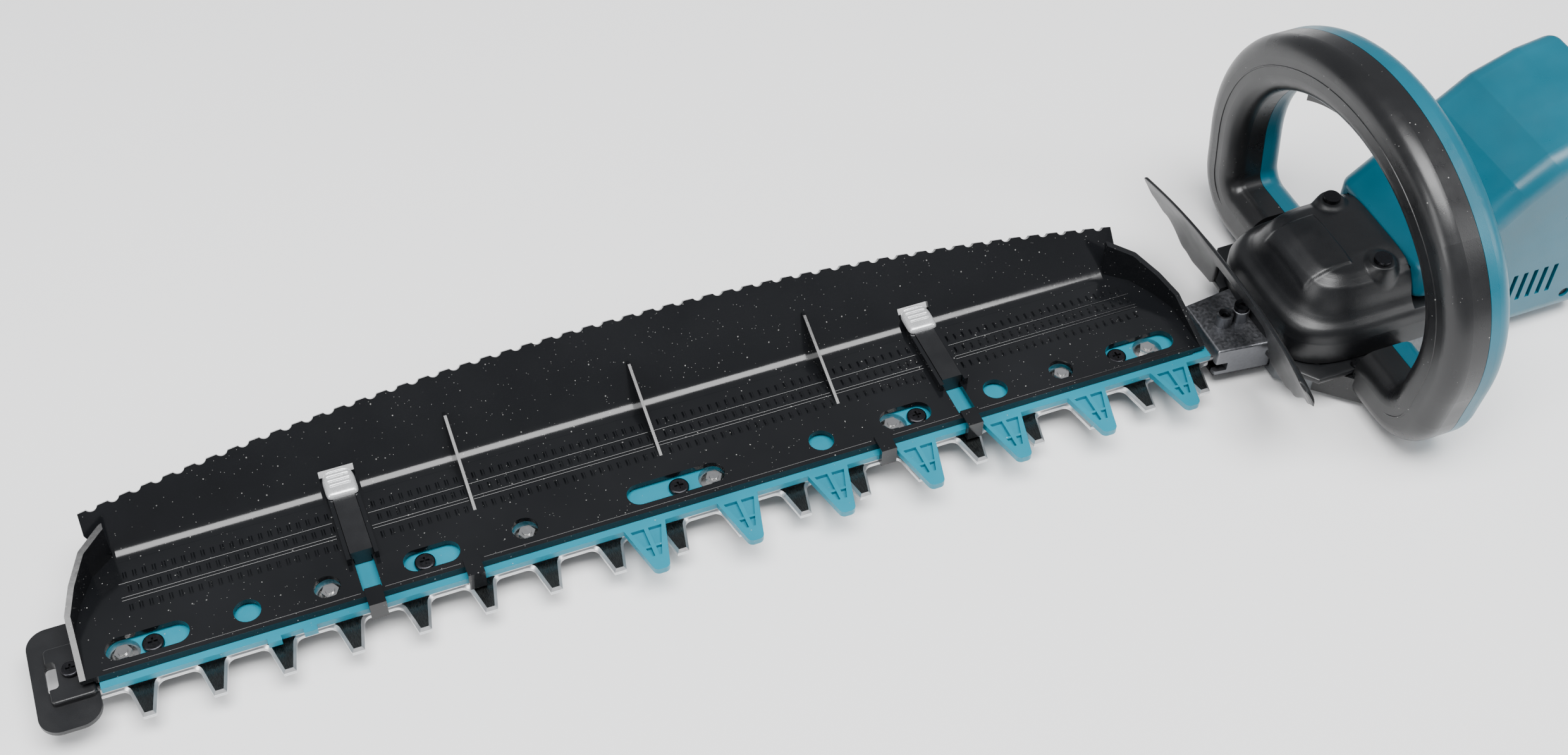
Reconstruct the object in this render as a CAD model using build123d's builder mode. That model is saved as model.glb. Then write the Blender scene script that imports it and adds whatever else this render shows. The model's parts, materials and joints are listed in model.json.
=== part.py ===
"""Cordless hedge trimmer: double 600 mm blade, comb guard, chip tray, looped front handle.

-X points to the blade tip, +X to the battery and +Z up. The origin is the middle of the rest
foot's underside, on the crank axis. All sizes are in millimetres.
"""

import math
import os

from build123d import *

os.makedirs("parts", exist_ok=True)

# Fits
slide_gap = 0.1
running_gap = 0.05
seat_gap = 0.2

# Blades: heights above the surface that the trimmer rests on, and the teeth
blade_base_z = 12.0
blade_thick = 2.4
tooth_pitch = 35.0
tooth_count = 18
last_tooth_x = -95.0
tooth_tip_half = 3.25
tooth_root_half = 7.6
tooth_tip_y = 34.7
bar_half = 15.2
gap_corner = 4.5
blade_overhang = 24.0
bevel_deep = 1.4
bevel_wide = 1.5
shank_half = 12.0
stroke_half = 8.75

# Guide bar, its bolts, the comb guard and the chip tray
guide_thick = 3.5
guide_half = 15.0
guide_end_x = -726.3
bolt_count = 6
bolt_radius = 2.5
bolt_hex = 8.0
bolt_head = 4.0
nut_high = 4.0
washer_radius = 7.0
washer_thick = 1.5
front_bolt_gap = 20.0
comb_thick = 3.8
comb_half = 17.2
comb_overhang = 19.0
finger_count = 7
finger_reach = 12.5
finger_root = 24.0
finger_tip = 8.0
screw_pitch = 140.0
screw_count = 4
screw_radius = 2.0
screw_head_radius = 5.5
screw_head_high = 2.8
tray_lift = 2.0
tray_wall = 3.0
tray_mid_x = -401.5
tray_half = 313.0
tray_near_y = -13.0
fold_y = 59.0
wall_lean = 50.0
wall_rise = 50.6
wall_end_rise = 26.0
scallop_pitch = tooth_pitch / 3
tray_hole_radius = 7.0
hole_offsets = (84.2, 189.5, 230.5)
slot_offsets = {0.0: 55.0, 134.5: 30.0, 280.7: 42.0}
fin_pitch = 104.2
latch_offset = 168.0
latch_half = 5.9
latch_travel = 4.0
edge_hook_offsets = (116.0, 168.0)

# Tip guard
tip_guard_x = -725.5
tip_guard_long = 31.0
tip_guard_half = 32.3
tip_guard_thick = 2.6

# Gear case
case_front_x = -45.0
case_back_x = 61.0
case_half = 46.0
case_wall = 4.0
case_base_z = 3.0
case_top_z = 44.0
case_nose_half = 30.0
nose_front_x = -80.0
nose_half = 20.0
nose_top_z = 28.0
nose_base_z = 9.0
nose_screw_xs = (-66.0, -55.2)

# Crank and gears
gear_module = 1.25
gear_teeth = 56
pinion_teeth = 14
pressure_angle = 25.0
gear_base_z = 26.0
gear_face = 9.0
eccentric_radius = 12.0
journal_radius = 3.0
crank_shaft_radius = 6.0
bearing_outer = 6.5
bearing_wide = 5.0
plate_z = 38.0
plate_thick = 5.0

# Motor
motor_radius = 20.0
motor_high = 26.0
motor_shaft_radius = 2.5
motor_bearing_outer = 6.5

# Gear cover and hand guard
cover_skirt_z = 27.0
cover_step_z = 50.0
cover_top_z = 76.0
cover_skirt_half = 50.5
cover_dome_half = 38.0
cover_wall = 2.5
cover_front_x = -49.6
cover_dome_front_x = -44.0
cover_back_x = 21.0
cover_screw_x = 12.0
cover_screw_y = 27.0
guard_lean = 28.0
guard_span_half = 91.0
guard_root_half = 47.0
guard_thick = 5.0
guard_top_z = 70.0
guard_root_z = 24.0
guard_top_x = -68.0

# Front handle loop
loop_base_z = 6.0
loop_top_z = 187.0
loop_top_radius = 125.0
loop_side_radius = 82.0
loop_shoulder_turn = 50.0
loop_side_turn = -8.0
loop_corner_radius = 24.0
loop_tube = 33.0
loop_wall = 3.5
loop_front_x = -14.0
loop_split_x = 8.0
loop_back_x = 25.0
lever_half = 55.0
lever_travel = 4.0

# Motor housing and rear handle
shell_wall = 2.5
shell_base_z = 5.0
shell_back_x = 332.0
bay_back_x = 150.0
bay_half = 47.0
grip_half = 24.0
rail_half = 38.0
hump_z = 150.0
grip_back_z = 132.0
opening_front_x = 168.0
opening_back_x = 284.0
opening_base_z = 42.0
opening_front_z = 112.0
opening_back_z = 99.0

# Battery
battery_long = 62.0
battery_high = 112.0
battery_half = 37.0
battery_base_z = 5.0
battery_travel = 90.0

# Heights worked out from the stack
lower_blade_z = blade_base_z
upper_blade_z = lower_blade_z + blade_thick + slide_gap
guide_z = upper_blade_z + blade_thick + slide_gap
comb_z = guide_z + guide_thick
comb_top_z = comb_z + comb_thick
tray_z = comb_top_z + tray_lift
tray_top_z = tray_z + tray_wall
first_tooth_x = last_tooth_x - tooth_pitch * (tooth_count - 1)
blade_end_x = first_tooth_x - blade_overhang
bolt_pitch = 3 * tooth_pitch
bolt_xs = [first_tooth_x - 5 + bolt_pitch * i for i in range(bolt_count)]
bolt_xs.append(last_tooth_x - front_bolt_gap)
screw_xs = [first_tooth_x + 10 + screw_pitch * i for i in range(screw_count)]
screw_xs.append(bolt_xs[-1] - front_bolt_gap)
comb_end_x = first_tooth_x - comb_overhang
comb_back_x = nose_front_x - 3
gear_radius = gear_module * gear_teeth / 2
pinion_radius = gear_module * pinion_teeth / 2
motor_x = gear_radius + pinion_radius
orbit = stroke_half + eccentric_radius
yoke_window_x = orbit + stroke_half + 0.5
yoke_window_y = orbit + 0.5


def top_edges(piece):
    """The edges of a piece's highest flat face."""
    return piece.faces().sort_by(Axis.Z)[-1].edges()


def mirrored(points):
    """The points, then their mirror images in Y, in the order that closes an outline."""
    return points + [(x, -y) for x, y in reversed(points)]


# ---------------------------------------------------------------- blades

tooth_spots = [(first_tooth_x + tooth_pitch * i, 0) for i in range(tooth_count)]
double_tooth = [
    (-tooth_root_half, bar_half),
    (-tooth_tip_half, tooth_tip_y),
    (tooth_tip_half, tooth_tip_y),
    (tooth_root_half, bar_half),
    (tooth_root_half, -bar_half),
    (tooth_tip_half, -tooth_tip_y),
    (-tooth_tip_half, -tooth_tip_y),
    (-tooth_root_half, -bar_half),
]
bar_back_x = last_tooth_x + 13
blade_slot_long = 2 * (stroke_half + bolt_radius + 1)
blade_slot_wide = 2 * (bolt_radius + 0.3)


def grind_teeth(blade, face):
    """Grinds the bevel along every tooth and gap on one face of a blade."""
    edges = [
        e
        for e in face.outer_wire().edges()
        if abs(e.center().Y) > bar_half - 0.5
        and first_tooth_x - 12 < e.center().X < last_tooth_x + 9
    ]
    chamfer(edges, length=bevel_deep, length2=bevel_wide)


def blade_outline(sketch_plane):
    """One shear blade: toothed bar, slots for the bolts, shank and the crank's yoke."""
    with BuildSketch(sketch_plane) as outline:
        with Locations(((blade_end_x + bar_back_x) / 2, 0)):
            Rectangle(bar_back_x - blade_end_x, 2 * bar_half)
        with Locations(*tooth_spots):
            Polygon(*double_tooth, align=None)
        corners = [
            v
            for v in outline.vertices()
            if abs(abs(v.Y) - bar_half) < 0.01
            and first_tooth_x - tooth_root_half - 1 < v.X < last_tooth_x + tooth_root_half + 1
        ]
        fillet(corners, radius=gap_corner)
        with Locations(((bar_back_x - yoke_window_x) / 2 - 2, 0)):
            Rectangle(-yoke_window_x - bar_back_x + 8, 2 * shank_half)
        with Locations((0, 0)):
            RectangleRounded(2 * yoke_window_x + 6, 2 * yoke_window_y + 8, 12)
            RectangleRounded(2 * yoke_window_x, 2 * yoke_window_y, 9, mode=Mode.SUBTRACT)
        with Locations(*[(x, 0) for x in bolt_xs]):
            SlotOverall(blade_slot_long, blade_slot_wide, mode=Mode.SUBTRACT)
    return outline.sketch


with BuildPart() as lower_blade:
    add(blade_outline(Plane.XY.offset(lower_blade_z)))
    extrude(amount=blade_thick)
    grind_teeth(lower_blade, lower_blade.faces().sort_by(Axis.Z)[0])
lower_blade.part.label = "lower_blade"
export_step(lower_blade.part, "parts/lower_blade.step")

with BuildPart() as upper_blade:
    add(blade_outline(Plane.XY.offset(upper_blade_z)))
    extrude(amount=blade_thick)
    grind_teeth(upper_blade, upper_blade.faces().sort_by(Axis.Z)[-1])
upper_blade.part.label = "upper_blade"
export_step(upper_blade.part, "parts/upper_blade.step")

# ---------------------------------------------------------------- guide bar and bolts

guide_back_x = case_front_x - 1
with BuildPart() as guide_bar:
    with BuildSketch(Plane.XY.offset(guide_z)) as guide_outline:
        with Locations(((guide_end_x + guide_back_x) / 2, 0)):
            RectangleRounded(guide_back_x - guide_end_x, 2 * guide_half, 4)
        with Locations(*[(x, 0) for x in bolt_xs]):
            Circle(bolt_radius + slide_gap, mode=Mode.SUBTRACT)
        with Locations(*[(x, 0) for x in screw_xs]):
            Circle(screw_radius, mode=Mode.SUBTRACT)
        with Locations(*[(x, 0) for x in nose_screw_xs], (tip_guard_x + 4.5, 0)):
            Circle(screw_radius + 0.5, mode=Mode.SUBTRACT)
    extrude(amount=guide_thick)
guide_bar.part.label = "guide_bar"
export_step(guide_bar.part, "parts/guide_bar.step")

bolt_base_z = blade_base_z - slide_gap - washer_thick - bolt_head
bolt_top_z = guide_z + guide_thick + washer_thick + nut_high + 0.8
with BuildPart() as blade_bolts:
    with BuildSketch(Plane.XY.offset(bolt_base_z)):
        with Locations(*[(x, 0) for x in bolt_xs]):
            RegularPolygon(bolt_hex / 2, 6, major_radius=False)
    extrude(amount=bolt_head)
    with BuildSketch(Plane.XY.offset(bolt_base_z)):
        with Locations(*[(x, 0) for x in bolt_xs]):
            Circle(bolt_radius)
    extrude(amount=bolt_top_z - bolt_base_z)
blade_bolts.part.label = "blade_bolts"
export_step(blade_bolts.part, "parts/blade_bolts.step")

with BuildPart() as blade_washers:
    for level in (bolt_base_z + bolt_head, guide_z + guide_thick):
        with BuildSketch(Plane.XY.offset(level)):
            with Locations(*[(x, 0) for x in bolt_xs]):
                Circle(washer_radius)
                Circle(bolt_radius + slide_gap, mode=Mode.SUBTRACT)
        extrude(amount=washer_thick)
blade_washers.part.label = "blade_washers"
export_step(blade_washers.part, "parts/blade_washers.step")

with BuildPart() as blade_nuts:
    with BuildSketch(Plane.XY.offset(guide_z + guide_thick + washer_thick)):
        with Locations(*[(x, 0) for x in bolt_xs]):
            RegularPolygon(bolt_hex / 2, 6, major_radius=False)
            Circle(bolt_radius + slide_gap, mode=Mode.SUBTRACT)
    extrude(amount=nut_high)
blade_nuts.part.label = "blade_nuts"
export_step(blade_nuts.part, "parts/blade_nuts.step")

# ---------------------------------------------------------------- comb guard

finger_pitch = 1.5 * tooth_pitch
finger_tip_y = -tooth_tip_y - finger_reach
finger_xs = [comb_back_x - 27.5 - finger_pitch * i for i in range(finger_count)]
finger = [
    (-finger_root / 2, -comb_half + 2),
    (-finger_tip / 2, finger_tip_y),
    (finger_tip / 2, finger_tip_y),
    (finger_root / 2, -comb_half + 2),
]
pocket = [(1.2, -comb_half - 2), (1.2, -38), (2.6, -38), (finger_root / 2 - 3.4, -comb_half - 2)]
with BuildPart() as comb_guard:
    with BuildSketch(Plane.XY.offset(comb_z)) as comb_outline:
        with Locations(((comb_end_x + comb_back_x) / 2, 0)):
            Rectangle(comb_back_x - comb_end_x, 2 * comb_half)
        with Locations(*[(x, 0) for x in finger_xs]):
            Polygon(*finger, align=None)
        tips = [v for v in comb_outline.vertices() if abs(v.Y - finger_tip_y) < 0.01]
        fillet(tips, radius=finger_tip / 2 - 0.6)
        with Locations(*[(first_tooth_x + 67 + 18.3 * i, -comb_half) for i in range(2)]):
            Rectangle(7, 6)
        with Locations(*[(x, 0) for x in bolt_xs]):
            Circle(washer_radius + 1.5, mode=Mode.SUBTRACT)
        with Locations(*[(x, 0) for x in screw_xs]):
            Circle(screw_radius + slide_gap, mode=Mode.SUBTRACT)
    extrude(amount=comb_thick)
    with BuildSketch(Plane.XY.offset(comb_top_z - 2.4)):
        with Locations(*[(x, 0) for x in finger_xs]):
            Polygon(*pocket, align=None)
            Polygon(*[(-x, y) for x, y in reversed(pocket)], align=None)
    extrude(amount=2.4, mode=Mode.SUBTRACT)
    with BuildSketch(Plane.XY.offset(comb_z)):
        with Locations(*[(x, -31) for x in finger_xs]):
            Rectangle(10, 1.4)
    extrude(amount=comb_thick - 0.4)
comb_guard.part.label = "comb_guard"
export_step(comb_guard.part, "parts/comb_guard.step")

with BuildPart() as comb_screws:
    with BuildSketch(Plane.XY.offset(guide_z + 0.5)):
        with Locations(*[(x, 0) for x in screw_xs]):
            Circle(screw_radius)
    extrude(amount=comb_top_z - guide_z)
    with BuildSketch(Plane.XY.offset(comb_top_z)):
        with Locations(*[(x, 0) for x in screw_xs]):
            Circle(screw_head_radius)
    extrude(amount=screw_head_high)
    rims = comb_screws.edges().filter_by(GeomType.CIRCLE)
    rims = rims.filter_by(lambda e: abs(e.center().Z - comb_top_z - screw_head_high) < 0.01)
    fillet(rims, radius=1.2)
    with BuildSketch(Plane.XY.offset(comb_top_z + screw_head_high - 1.5)):
        with Locations(*[(x, 0) for x in screw_xs]):
            Rectangle(5, 1.1)
            Rectangle(1.1, 5)
    extrude(amount=1.5, mode=Mode.SUBTRACT)
comb_screws.part.label = "comb_screws"
export_step(comb_screws.part, "parts/comb_screws.step")

# ---------------------------------------------------------------- chip tray

tray_half_outline = [
    (tray_half, tray_near_y),
    (tray_half, fold_y - 39),
    (tray_half - 5, fold_y - 25),
    (tray_half - 13, fold_y - 10),
    (tray_half - 25, fold_y),
]
tray_outline = tray_half_outline + [(-x, y) for x, y in reversed(tray_half_outline)]
wall_plane = Plane(
    origin=(tray_mid_x, fold_y, tray_top_z),
    x_dir=(1, 0, 0),
    z_dir=(0, -math.sin(math.radians(wall_lean)), math.cos(math.radians(wall_lean))),
)
arch_half = tray_half - 14
arch_drop = wall_rise - wall_end_rise
arch_radius = (arch_half**2 + arch_drop**2) / (2 * arch_drop)
scallop_count = int(2 * arch_half / scallop_pitch)
latch_xs = [tray_mid_x - latch_offset, tray_mid_x + latch_offset]
rail_front_y = 9.0
rail_back_y = 55.0
cap_back_y = 66.0
rail_top_z = tray_top_z + 5.2


def arch_height(x):
    """Height of the back wall's arched edge above the fold, x from its middle."""
    return wall_rise - arch_radius + math.sqrt(arch_radius**2 - x * x)


with BuildPart() as tray_ends:
    with BuildSketch(Plane.XY.offset(tray_z)):
        with Locations((tray_mid_x, 0)):
            Polygon(*tray_outline, align=None)
        offset(amount=tray_wall)
        with Locations((tray_mid_x, 0)):
            Polygon(*tray_outline, align=None, mode=Mode.SUBTRACT)
            Rectangle(2 * tray_half - 50, 300, mode=Mode.SUBTRACT)
        with Locations((tray_mid_x, tray_near_y - 50)):
            Rectangle(3 * tray_half, 100, mode=Mode.SUBTRACT)
    extrude(amount=40)
    split(
        bisect_by=Plane(origin=(tray_mid_x, tray_near_y, tray_top_z), z_dir=(0, -0.32, 1)),
        keep=Keep.BOTTOM,
    )

fin_xs = [tray_mid_x - 1 + fin_pitch * i for i in (-1, 0, 1)]
fin_top_y = fold_y + 20 / math.tan(math.radians(wall_lean))
fin_profile = [
    (20, tray_top_z - 0.5),
    (fold_y + 1, tray_top_z - 0.5),
    (fin_top_y + 1, tray_top_z + 20),
    (fin_top_y - 3, tray_top_z + 20.6),
]
with BuildPart() as chip_tray:
    add(tray_ends.part)
    with BuildSketch(Plane.XY.offset(tray_z)):
        with Locations((tray_mid_x, 0)):
            Polygon(*tray_outline, align=None)
    extrude(amount=tray_wall)
    with BuildSketch(wall_plane):
        with BuildLine():
            ThreePointArc((-arch_half, wall_end_rise), (0, wall_rise), (arch_half, wall_end_rise))
            Polyline(
                (arch_half, wall_end_rise),
                (arch_half, 14),
                (tray_half - 25, -3),
                (25 - tray_half, -3),
                (-arch_half, 14),
                (-arch_half, wall_end_rise),
            )
        make_face()
        scallops = [(i - (scallop_count - 1) / 2) * scallop_pitch for i in range(scallop_count)]
        with Locations(*[(x, arch_height(x) + 1.6) for x in scallops]):
            Circle(3.4, mode=Mode.SUBTRACT)
    extrude(amount=-tray_wall)
    for x in fin_xs:
        with BuildSketch(Plane.YZ.offset(x - 0.8)):
            Polygon(*fin_profile, align=None)
        extrude(amount=1.6)
    with BuildSketch(Plane.XY.offset(comb_top_z)):
        with Locations(*[(tray_mid_x, y) for y in (tray_near_y + 1, -tray_near_y)]):
            Rectangle(2 * tray_half - 8, 2)
    extrude(amount=tray_lift + 0.5)
    with BuildSketch(Plane.XY.offset(tray_top_z)):
        for x in latch_xs:
            with Locations(*[(x + side * 7.3, (rail_front_y + rail_back_y) / 2) for side in (-1, 1)]):
                Rectangle(2.2, rail_back_y - rail_front_y)
    extrude(amount=rail_top_z - tray_top_z)
    with BuildSketch(Plane.XY.offset(comb_top_z)):
        for reach in hole_offsets:
            with Locations((tray_mid_x - reach, 0), (tray_mid_x + reach, 0)):
                Circle(tray_hole_radius)
        for reach, long in slot_offsets.items():
            with Locations((tray_mid_x - reach, 0), (tray_mid_x + reach, 0)):
                SlotOverall(long, 2 * tray_hole_radius)
        with Locations(*[(x, 6.2) for x in latch_xs]):
            Rectangle(10, 30.5)
    extrude(amount=tray_lift + tray_wall, mode=Mode.SUBTRACT)
    with BuildSketch(Plane.XY.offset(rail_top_z - 0.2)):
        with Locations(*[(x, cap_back_y) for x in latch_xs]):
            Rectangle(18.8, 18)
    extrude(amount=5, mode=Mode.SUBTRACT)
chip_tray.part.label = "chip_tray"
export_step(chip_tray.part, "parts/chip_tray.step")

hook_xs = [tray_mid_x + side * reach for side in (-1, 1) for reach in edge_hook_offsets]
hook_profile = [
    (tray_near_y + 4, tray_top_z),
    (tray_near_y + 4, tray_top_z + 1.3),
    (tray_near_y - 7.5, tray_top_z + 1.3),
    (tray_near_y - 7.5, guide_z + 1.6),
    (-guide_half - 0.6, guide_z + 1.6),
    (-guide_half - 0.6, comb_z - 0.3),
    (-comb_half - 0.4, comb_z - 0.3),
    (-comb_half - 0.4, tray_top_z),
]
with BuildPart() as tray_edge_hooks:
    for x in hook_xs:
        with BuildSketch(Plane.YZ.offset(x - 4.5)):
            Polygon(*hook_profile, align=None)
        extrude(amount=9)
tray_edge_hooks.part.label = "tray_edge_hooks"
export_step(tray_edge_hooks.part, "parts/tray_edge_hooks.step")

# ---------------------------------------------------------------- tray latches

latch_front_y = 12.0
latch_bar_z = tray_top_z + seat_gap
latch_bar_top = rail_top_z + 0.5
latch_bar_back_y = fold_y - latch_travel - 0.6


def latch_bar(x):
    """The sliding bar of one latch, with its tongue hanging through the tray."""
    with BuildPart() as bar:
        with BuildSketch(Plane.XY.offset(latch_bar_z)):
            with Locations((x, (latch_front_y + latch_bar_back_y) / 2)):
                Rectangle(2 * latch_half, latch_bar_back_y - latch_front_y)
        extrude(amount=latch_bar_top - latch_bar_z)
        with BuildSketch(Plane.XY.offset(comb_top_z + 0.3)):
            with Locations((x, latch_front_y + 2.4)):
                Rectangle(9, 4.8)
        extrude(amount=latch_bar_z - comb_top_z)
    return bar.part


def latch_cap(x):
    """The grooved thumb cap on one latch's far end."""
    with BuildPart() as cap:
        with BuildSketch(Plane.XY.offset(latch_bar_top)) as cap_outline:
            with Locations((x, cap_back_y - 8)):
                Rectangle(17.2, 16)
            far = cap_outline.vertices().group_by(Axis.Y)[-1]
            fillet(far, radius=6)
        extrude(amount=3)
        fillet(top_edges(cap), radius=0.8)
        with BuildSketch(Plane.XY.offset(latch_bar_top + 2.4)):
            with Locations(*[(x, cap_back_y - 11 + 3 * i) for i in range(3)]):
                Rectangle(11, 1)
        extrude(amount=1, mode=Mode.SUBTRACT)
    return cap.part


with BuildPart() as latch_bar_front:
    add(latch_bar(latch_xs[0]))
latch_bar_front.part.label = "latch_bar_front"
export_step(latch_bar_front.part, "parts/latch_bar_front.step")

with BuildPart() as latch_bar_rear:
    add(latch_bar(latch_xs[1]))
latch_bar_rear.part.label = "latch_bar_rear"
export_step(latch_bar_rear.part, "parts/latch_bar_rear.step")

with BuildPart() as latch_cap_front:
    add(latch_cap(latch_xs[0]))
latch_cap_front.part.label = "latch_cap_front"
export_step(latch_cap_front.part, "parts/latch_cap_front.step")

with BuildPart() as latch_cap_rear:
    add(latch_cap(latch_xs[1]))
latch_cap_rear.part.label = "latch_cap_rear"
export_step(latch_cap_rear.part, "parts/latch_cap_rear.step")

# ---------------------------------------------------------------- tip guard

channel_top_z = comb_z + 3
with BuildPart() as tip_guard:
    with BuildSketch(Plane.XY.offset(guide_z + 0.6)) as plate_outline:
        with Locations((tip_guard_x, 0)):
            RectangleRounded(tip_guard_long, 2 * tip_guard_half, 11)
    extrude(amount=tip_guard_thick)
    with BuildSketch(Plane.XY.offset(guide_z + 0.6)):
        with Locations((tip_guard_x + 3.5, 0)):
            RectangleRounded(22, 2 * comb_half, 2.5)
    extrude(amount=channel_top_z - guide_z - 0.6)
    fillet(top_edges(tip_guard), radius=1.2)
    with BuildSketch(Plane.XY.offset(guide_z)):
        with Locations((guide_end_x + 20 - seat_gap, 0)):
            Rectangle(40, 2 * (guide_half + seat_gap))
    extrude(amount=guide_thick + seat_gap, mode=Mode.SUBTRACT)
    with BuildSketch(Plane.XY.offset(guide_z)):
        with Locations((tip_guard_x - 5.5, 0)):
            RectangleRounded(6, 16.6, 2)
        with Locations((tip_guard_x + 4.5, 0)):
            Circle(screw_radius + slide_gap)
    extrude(amount=20, mode=Mode.SUBTRACT)
tip_guard.part.label = "tip_guard"
export_step(tip_guard.part, "parts/tip_guard.step")

with BuildPart() as tip_guard_screw:
    with Locations((tip_guard_x + 4.5, 0, guide_z + 0.4)):
        Cylinder(screw_radius, channel_top_z - guide_z, align=(Align.CENTER, Align.CENTER, Align.MIN))
    with Locations((tip_guard_x + 4.5, 0, channel_top_z)):
        Cylinder(4.8, 2.4, align=(Align.CENTER, Align.CENTER, Align.MIN))
    fillet(top_edges(tip_guard_screw), radius=1)
    with BuildSketch(Plane.XY.offset(channel_top_z + 1)):
        with Locations((tip_guard_x + 4.5, 0)):
            Rectangle(4.6, 1)
            Rectangle(1, 4.6)
    extrude(amount=2, mode=Mode.SUBTRACT)
tip_guard_screw.part.label = "tip_guard_screw"
export_step(tip_guard_screw.part, "parts/tip_guard_screw.step")

# ---------------------------------------------------------------- gear case

case_plan = mirrored(
    [(case_front_x, case_nose_half), (case_front_x + 16, case_half), (case_back_x, case_half)]
)
case_inner = mirrored(
    [
        (case_front_x + 2.8, case_nose_half - 1),
        (case_front_x + 17.5, case_half - case_wall),
        (case_back_x - case_wall, case_half - case_wall),
    ]
)
boss_spots = [(x, y) for x in (-25, case_back_x - 9) for y in (-38, 38)]
lower_bearing_z = 6.4
with BuildPart() as gear_base:
    with BuildSketch(Plane.XY.offset(case_base_z)):
        Polygon(*case_plan, align=None)
    extrude(amount=case_top_z - case_base_z)
    fillet(gear_base.edges().filter_by(Axis.Z), radius=2)
    with BuildSketch(Plane.XY.offset(case_base_z + case_wall)):
        Polygon(*case_inner, align=None)
    extrude(amount=case_top_z, mode=Mode.SUBTRACT)
    with BuildSketch(Plane.XY.offset(case_base_z + case_wall - 1)):
        with Locations(*boss_spots):
            Rectangle(8, 8)
    extrude(amount=plate_z - case_base_z - case_wall + 1)
    with Locations((0, 0, case_base_z + 1)):
        Cylinder(11, 7.4, align=(Align.CENTER, Align.CENTER, Align.MIN))
    with Locations((0, 0, lower_bearing_z)):
        Cylinder(bearing_outer, 20, align=(Align.CENTER, Align.CENTER, Align.MIN), mode=Mode.SUBTRACT)
    with Locations((case_front_x, 0, lower_blade_z + 2.5)):
        Box(12, 2 * shank_half + 6, 9, mode=Mode.SUBTRACT)
    with BuildSketch(Plane.XY.offset(plate_z - 14)):
        with Locations(*boss_spots):
            Circle(1.5)
    extrude(amount=20, mode=Mode.SUBTRACT)
gear_base.part.label = "gear_base"
export_step(gear_base.part, "parts/gear_base.step")

with BuildPart() as rest_foot:
    with BuildSketch(Plane.XY):
        with Locations((8, 0)):
            RectangleRounded(76, 72, 10)
    extrude(amount=case_base_z)
    fillet(rest_foot.edges().group_by(Axis.Z)[0], radius=1)
rest_foot.part.label = "rest_foot"
export_step(rest_foot.part, "parts/rest_foot.step")

motor_seat_z = plate_z + plate_thick + 1.2
with BuildPart() as bearing_plate:
    with BuildSketch(Plane.XY.offset(plate_z)):
        Polygon(*case_inner, align=None)
        offset(amount=-0.3)
    extrude(amount=plate_thick)
    with Locations((motor_x, 0, plate_z + 1)):
        Cylinder(10, motor_seat_z - plate_z - 1, align=(Align.CENTER, Align.CENTER, Align.MIN))
    with BuildSketch(Plane.XY.offset(plate_z - 1)):
        Circle(11)
        with Locations((motor_x, 0)):
            Circle(motor_bearing_outer)
        with Locations((8, 30), (8, -30)):
            SlotOverall(34, 12)
        with Locations(*boss_spots):
            Circle(1.6)
    extrude(amount=plate_thick + 4, mode=Mode.SUBTRACT)
bearing_plate.part.label = "bearing_plate"
export_step(bearing_plate.part, "parts/bearing_plate.step")

with BuildPart() as plate_screws:
    for x, y in boss_spots:
        with Locations((x, y, plate_z - 8)):
            Cylinder(1.5, 13, align=(Align.CENTER, Align.CENTER, Align.MIN))
        with Locations((x, y, plate_z + plate_thick)):
            Cylinder(3, 2, align=(Align.CENTER, Align.CENTER, Align.MIN))
plate_screws.part.label = "plate_screws"
export_step(plate_screws.part, "parts/plate_screws.step")

# ---------------------------------------------------------------- crank and gears


def involute(angle):
    """Involute function of a pressure angle in radians."""
    return math.tan(angle) - angle


def gear_points(teeth, turn):
    """Outline of an involute spur gear, as points, turned by an angle in radians."""
    pitch = gear_module * teeth / 2
    flank_angle = math.radians(pressure_angle)
    base = pitch * math.cos(flank_angle)
    tip = pitch + 0.8 * gear_module
    root = pitch - 1.05 * gear_module
    half_tooth = math.pi / (2 * teeth) - 0.05 / pitch
    low = max(base, root)
    radii = [low + (tip - low) * i / 4 for i in range(5)]
    flank = []
    for radius in radii:
        spread = involute(math.acos(min(1, base / radius)))
        flank.append((radius, half_tooth + involute(flank_angle) - spread))
    if root < base:
        flank.insert(0, (root, flank[0][1]))
    points = []
    for i in range(teeth):
        middle = turn + 2 * math.pi * i / teeth
        for radius, half in flank:
            points.append((radius * math.cos(middle - half), radius * math.sin(middle - half)))
        for radius, half in reversed(flank):
            points.append((radius * math.cos(middle + half), radius * math.sin(middle + half)))
    return points


disc_high = (guide_z - lower_blade_z) / 2
with BuildPart() as crank_shaft:
    with Locations((0, 0, lower_bearing_z + 0.1)):
        Cylinder(
            journal_radius,
            lower_blade_z - lower_bearing_z - 0.1,
            align=(Align.CENTER, Align.CENTER, Align.MIN),
        )
    with Locations((0, -stroke_half, lower_blade_z - 0.5)):
        Cylinder(eccentric_radius, disc_high + 0.5, align=(Align.CENTER, Align.CENTER, Align.MIN))
    with Locations((0, stroke_half, lower_blade_z + disc_high)):
        Cylinder(eccentric_radius, disc_high + 0.5, align=(Align.CENTER, Align.CENTER, Align.MIN))
    with Locations((0, 0, guide_z)):
        Cylinder(
            crank_shaft_radius,
            plate_z - guide_z - 1,
            align=(Align.CENTER, Align.CENTER, Align.MIN),
        )
    with Locations((0, 0, plate_z - 1)):
        Cylinder(4, plate_thick + 1, align=(Align.CENTER, Align.CENTER, Align.MIN))
crank_shaft.part.label = "crank_shaft"
export_step(crank_shaft.part, "parts/crank_shaft.step")

with BuildPart() as crank_gear:
    with BuildSketch(Plane.XY.offset(gear_base_z)):
        Polygon(*gear_points(gear_teeth, 0), align=None)
        Circle(crank_shaft_radius, mode=Mode.SUBTRACT)
        with PolarLocations(21, 6):
            Circle(6, mode=Mode.SUBTRACT)
    extrude(amount=gear_face)
crank_gear.part.label = "crank_gear"
export_step(crank_gear.part, "parts/crank_gear.step")

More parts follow.
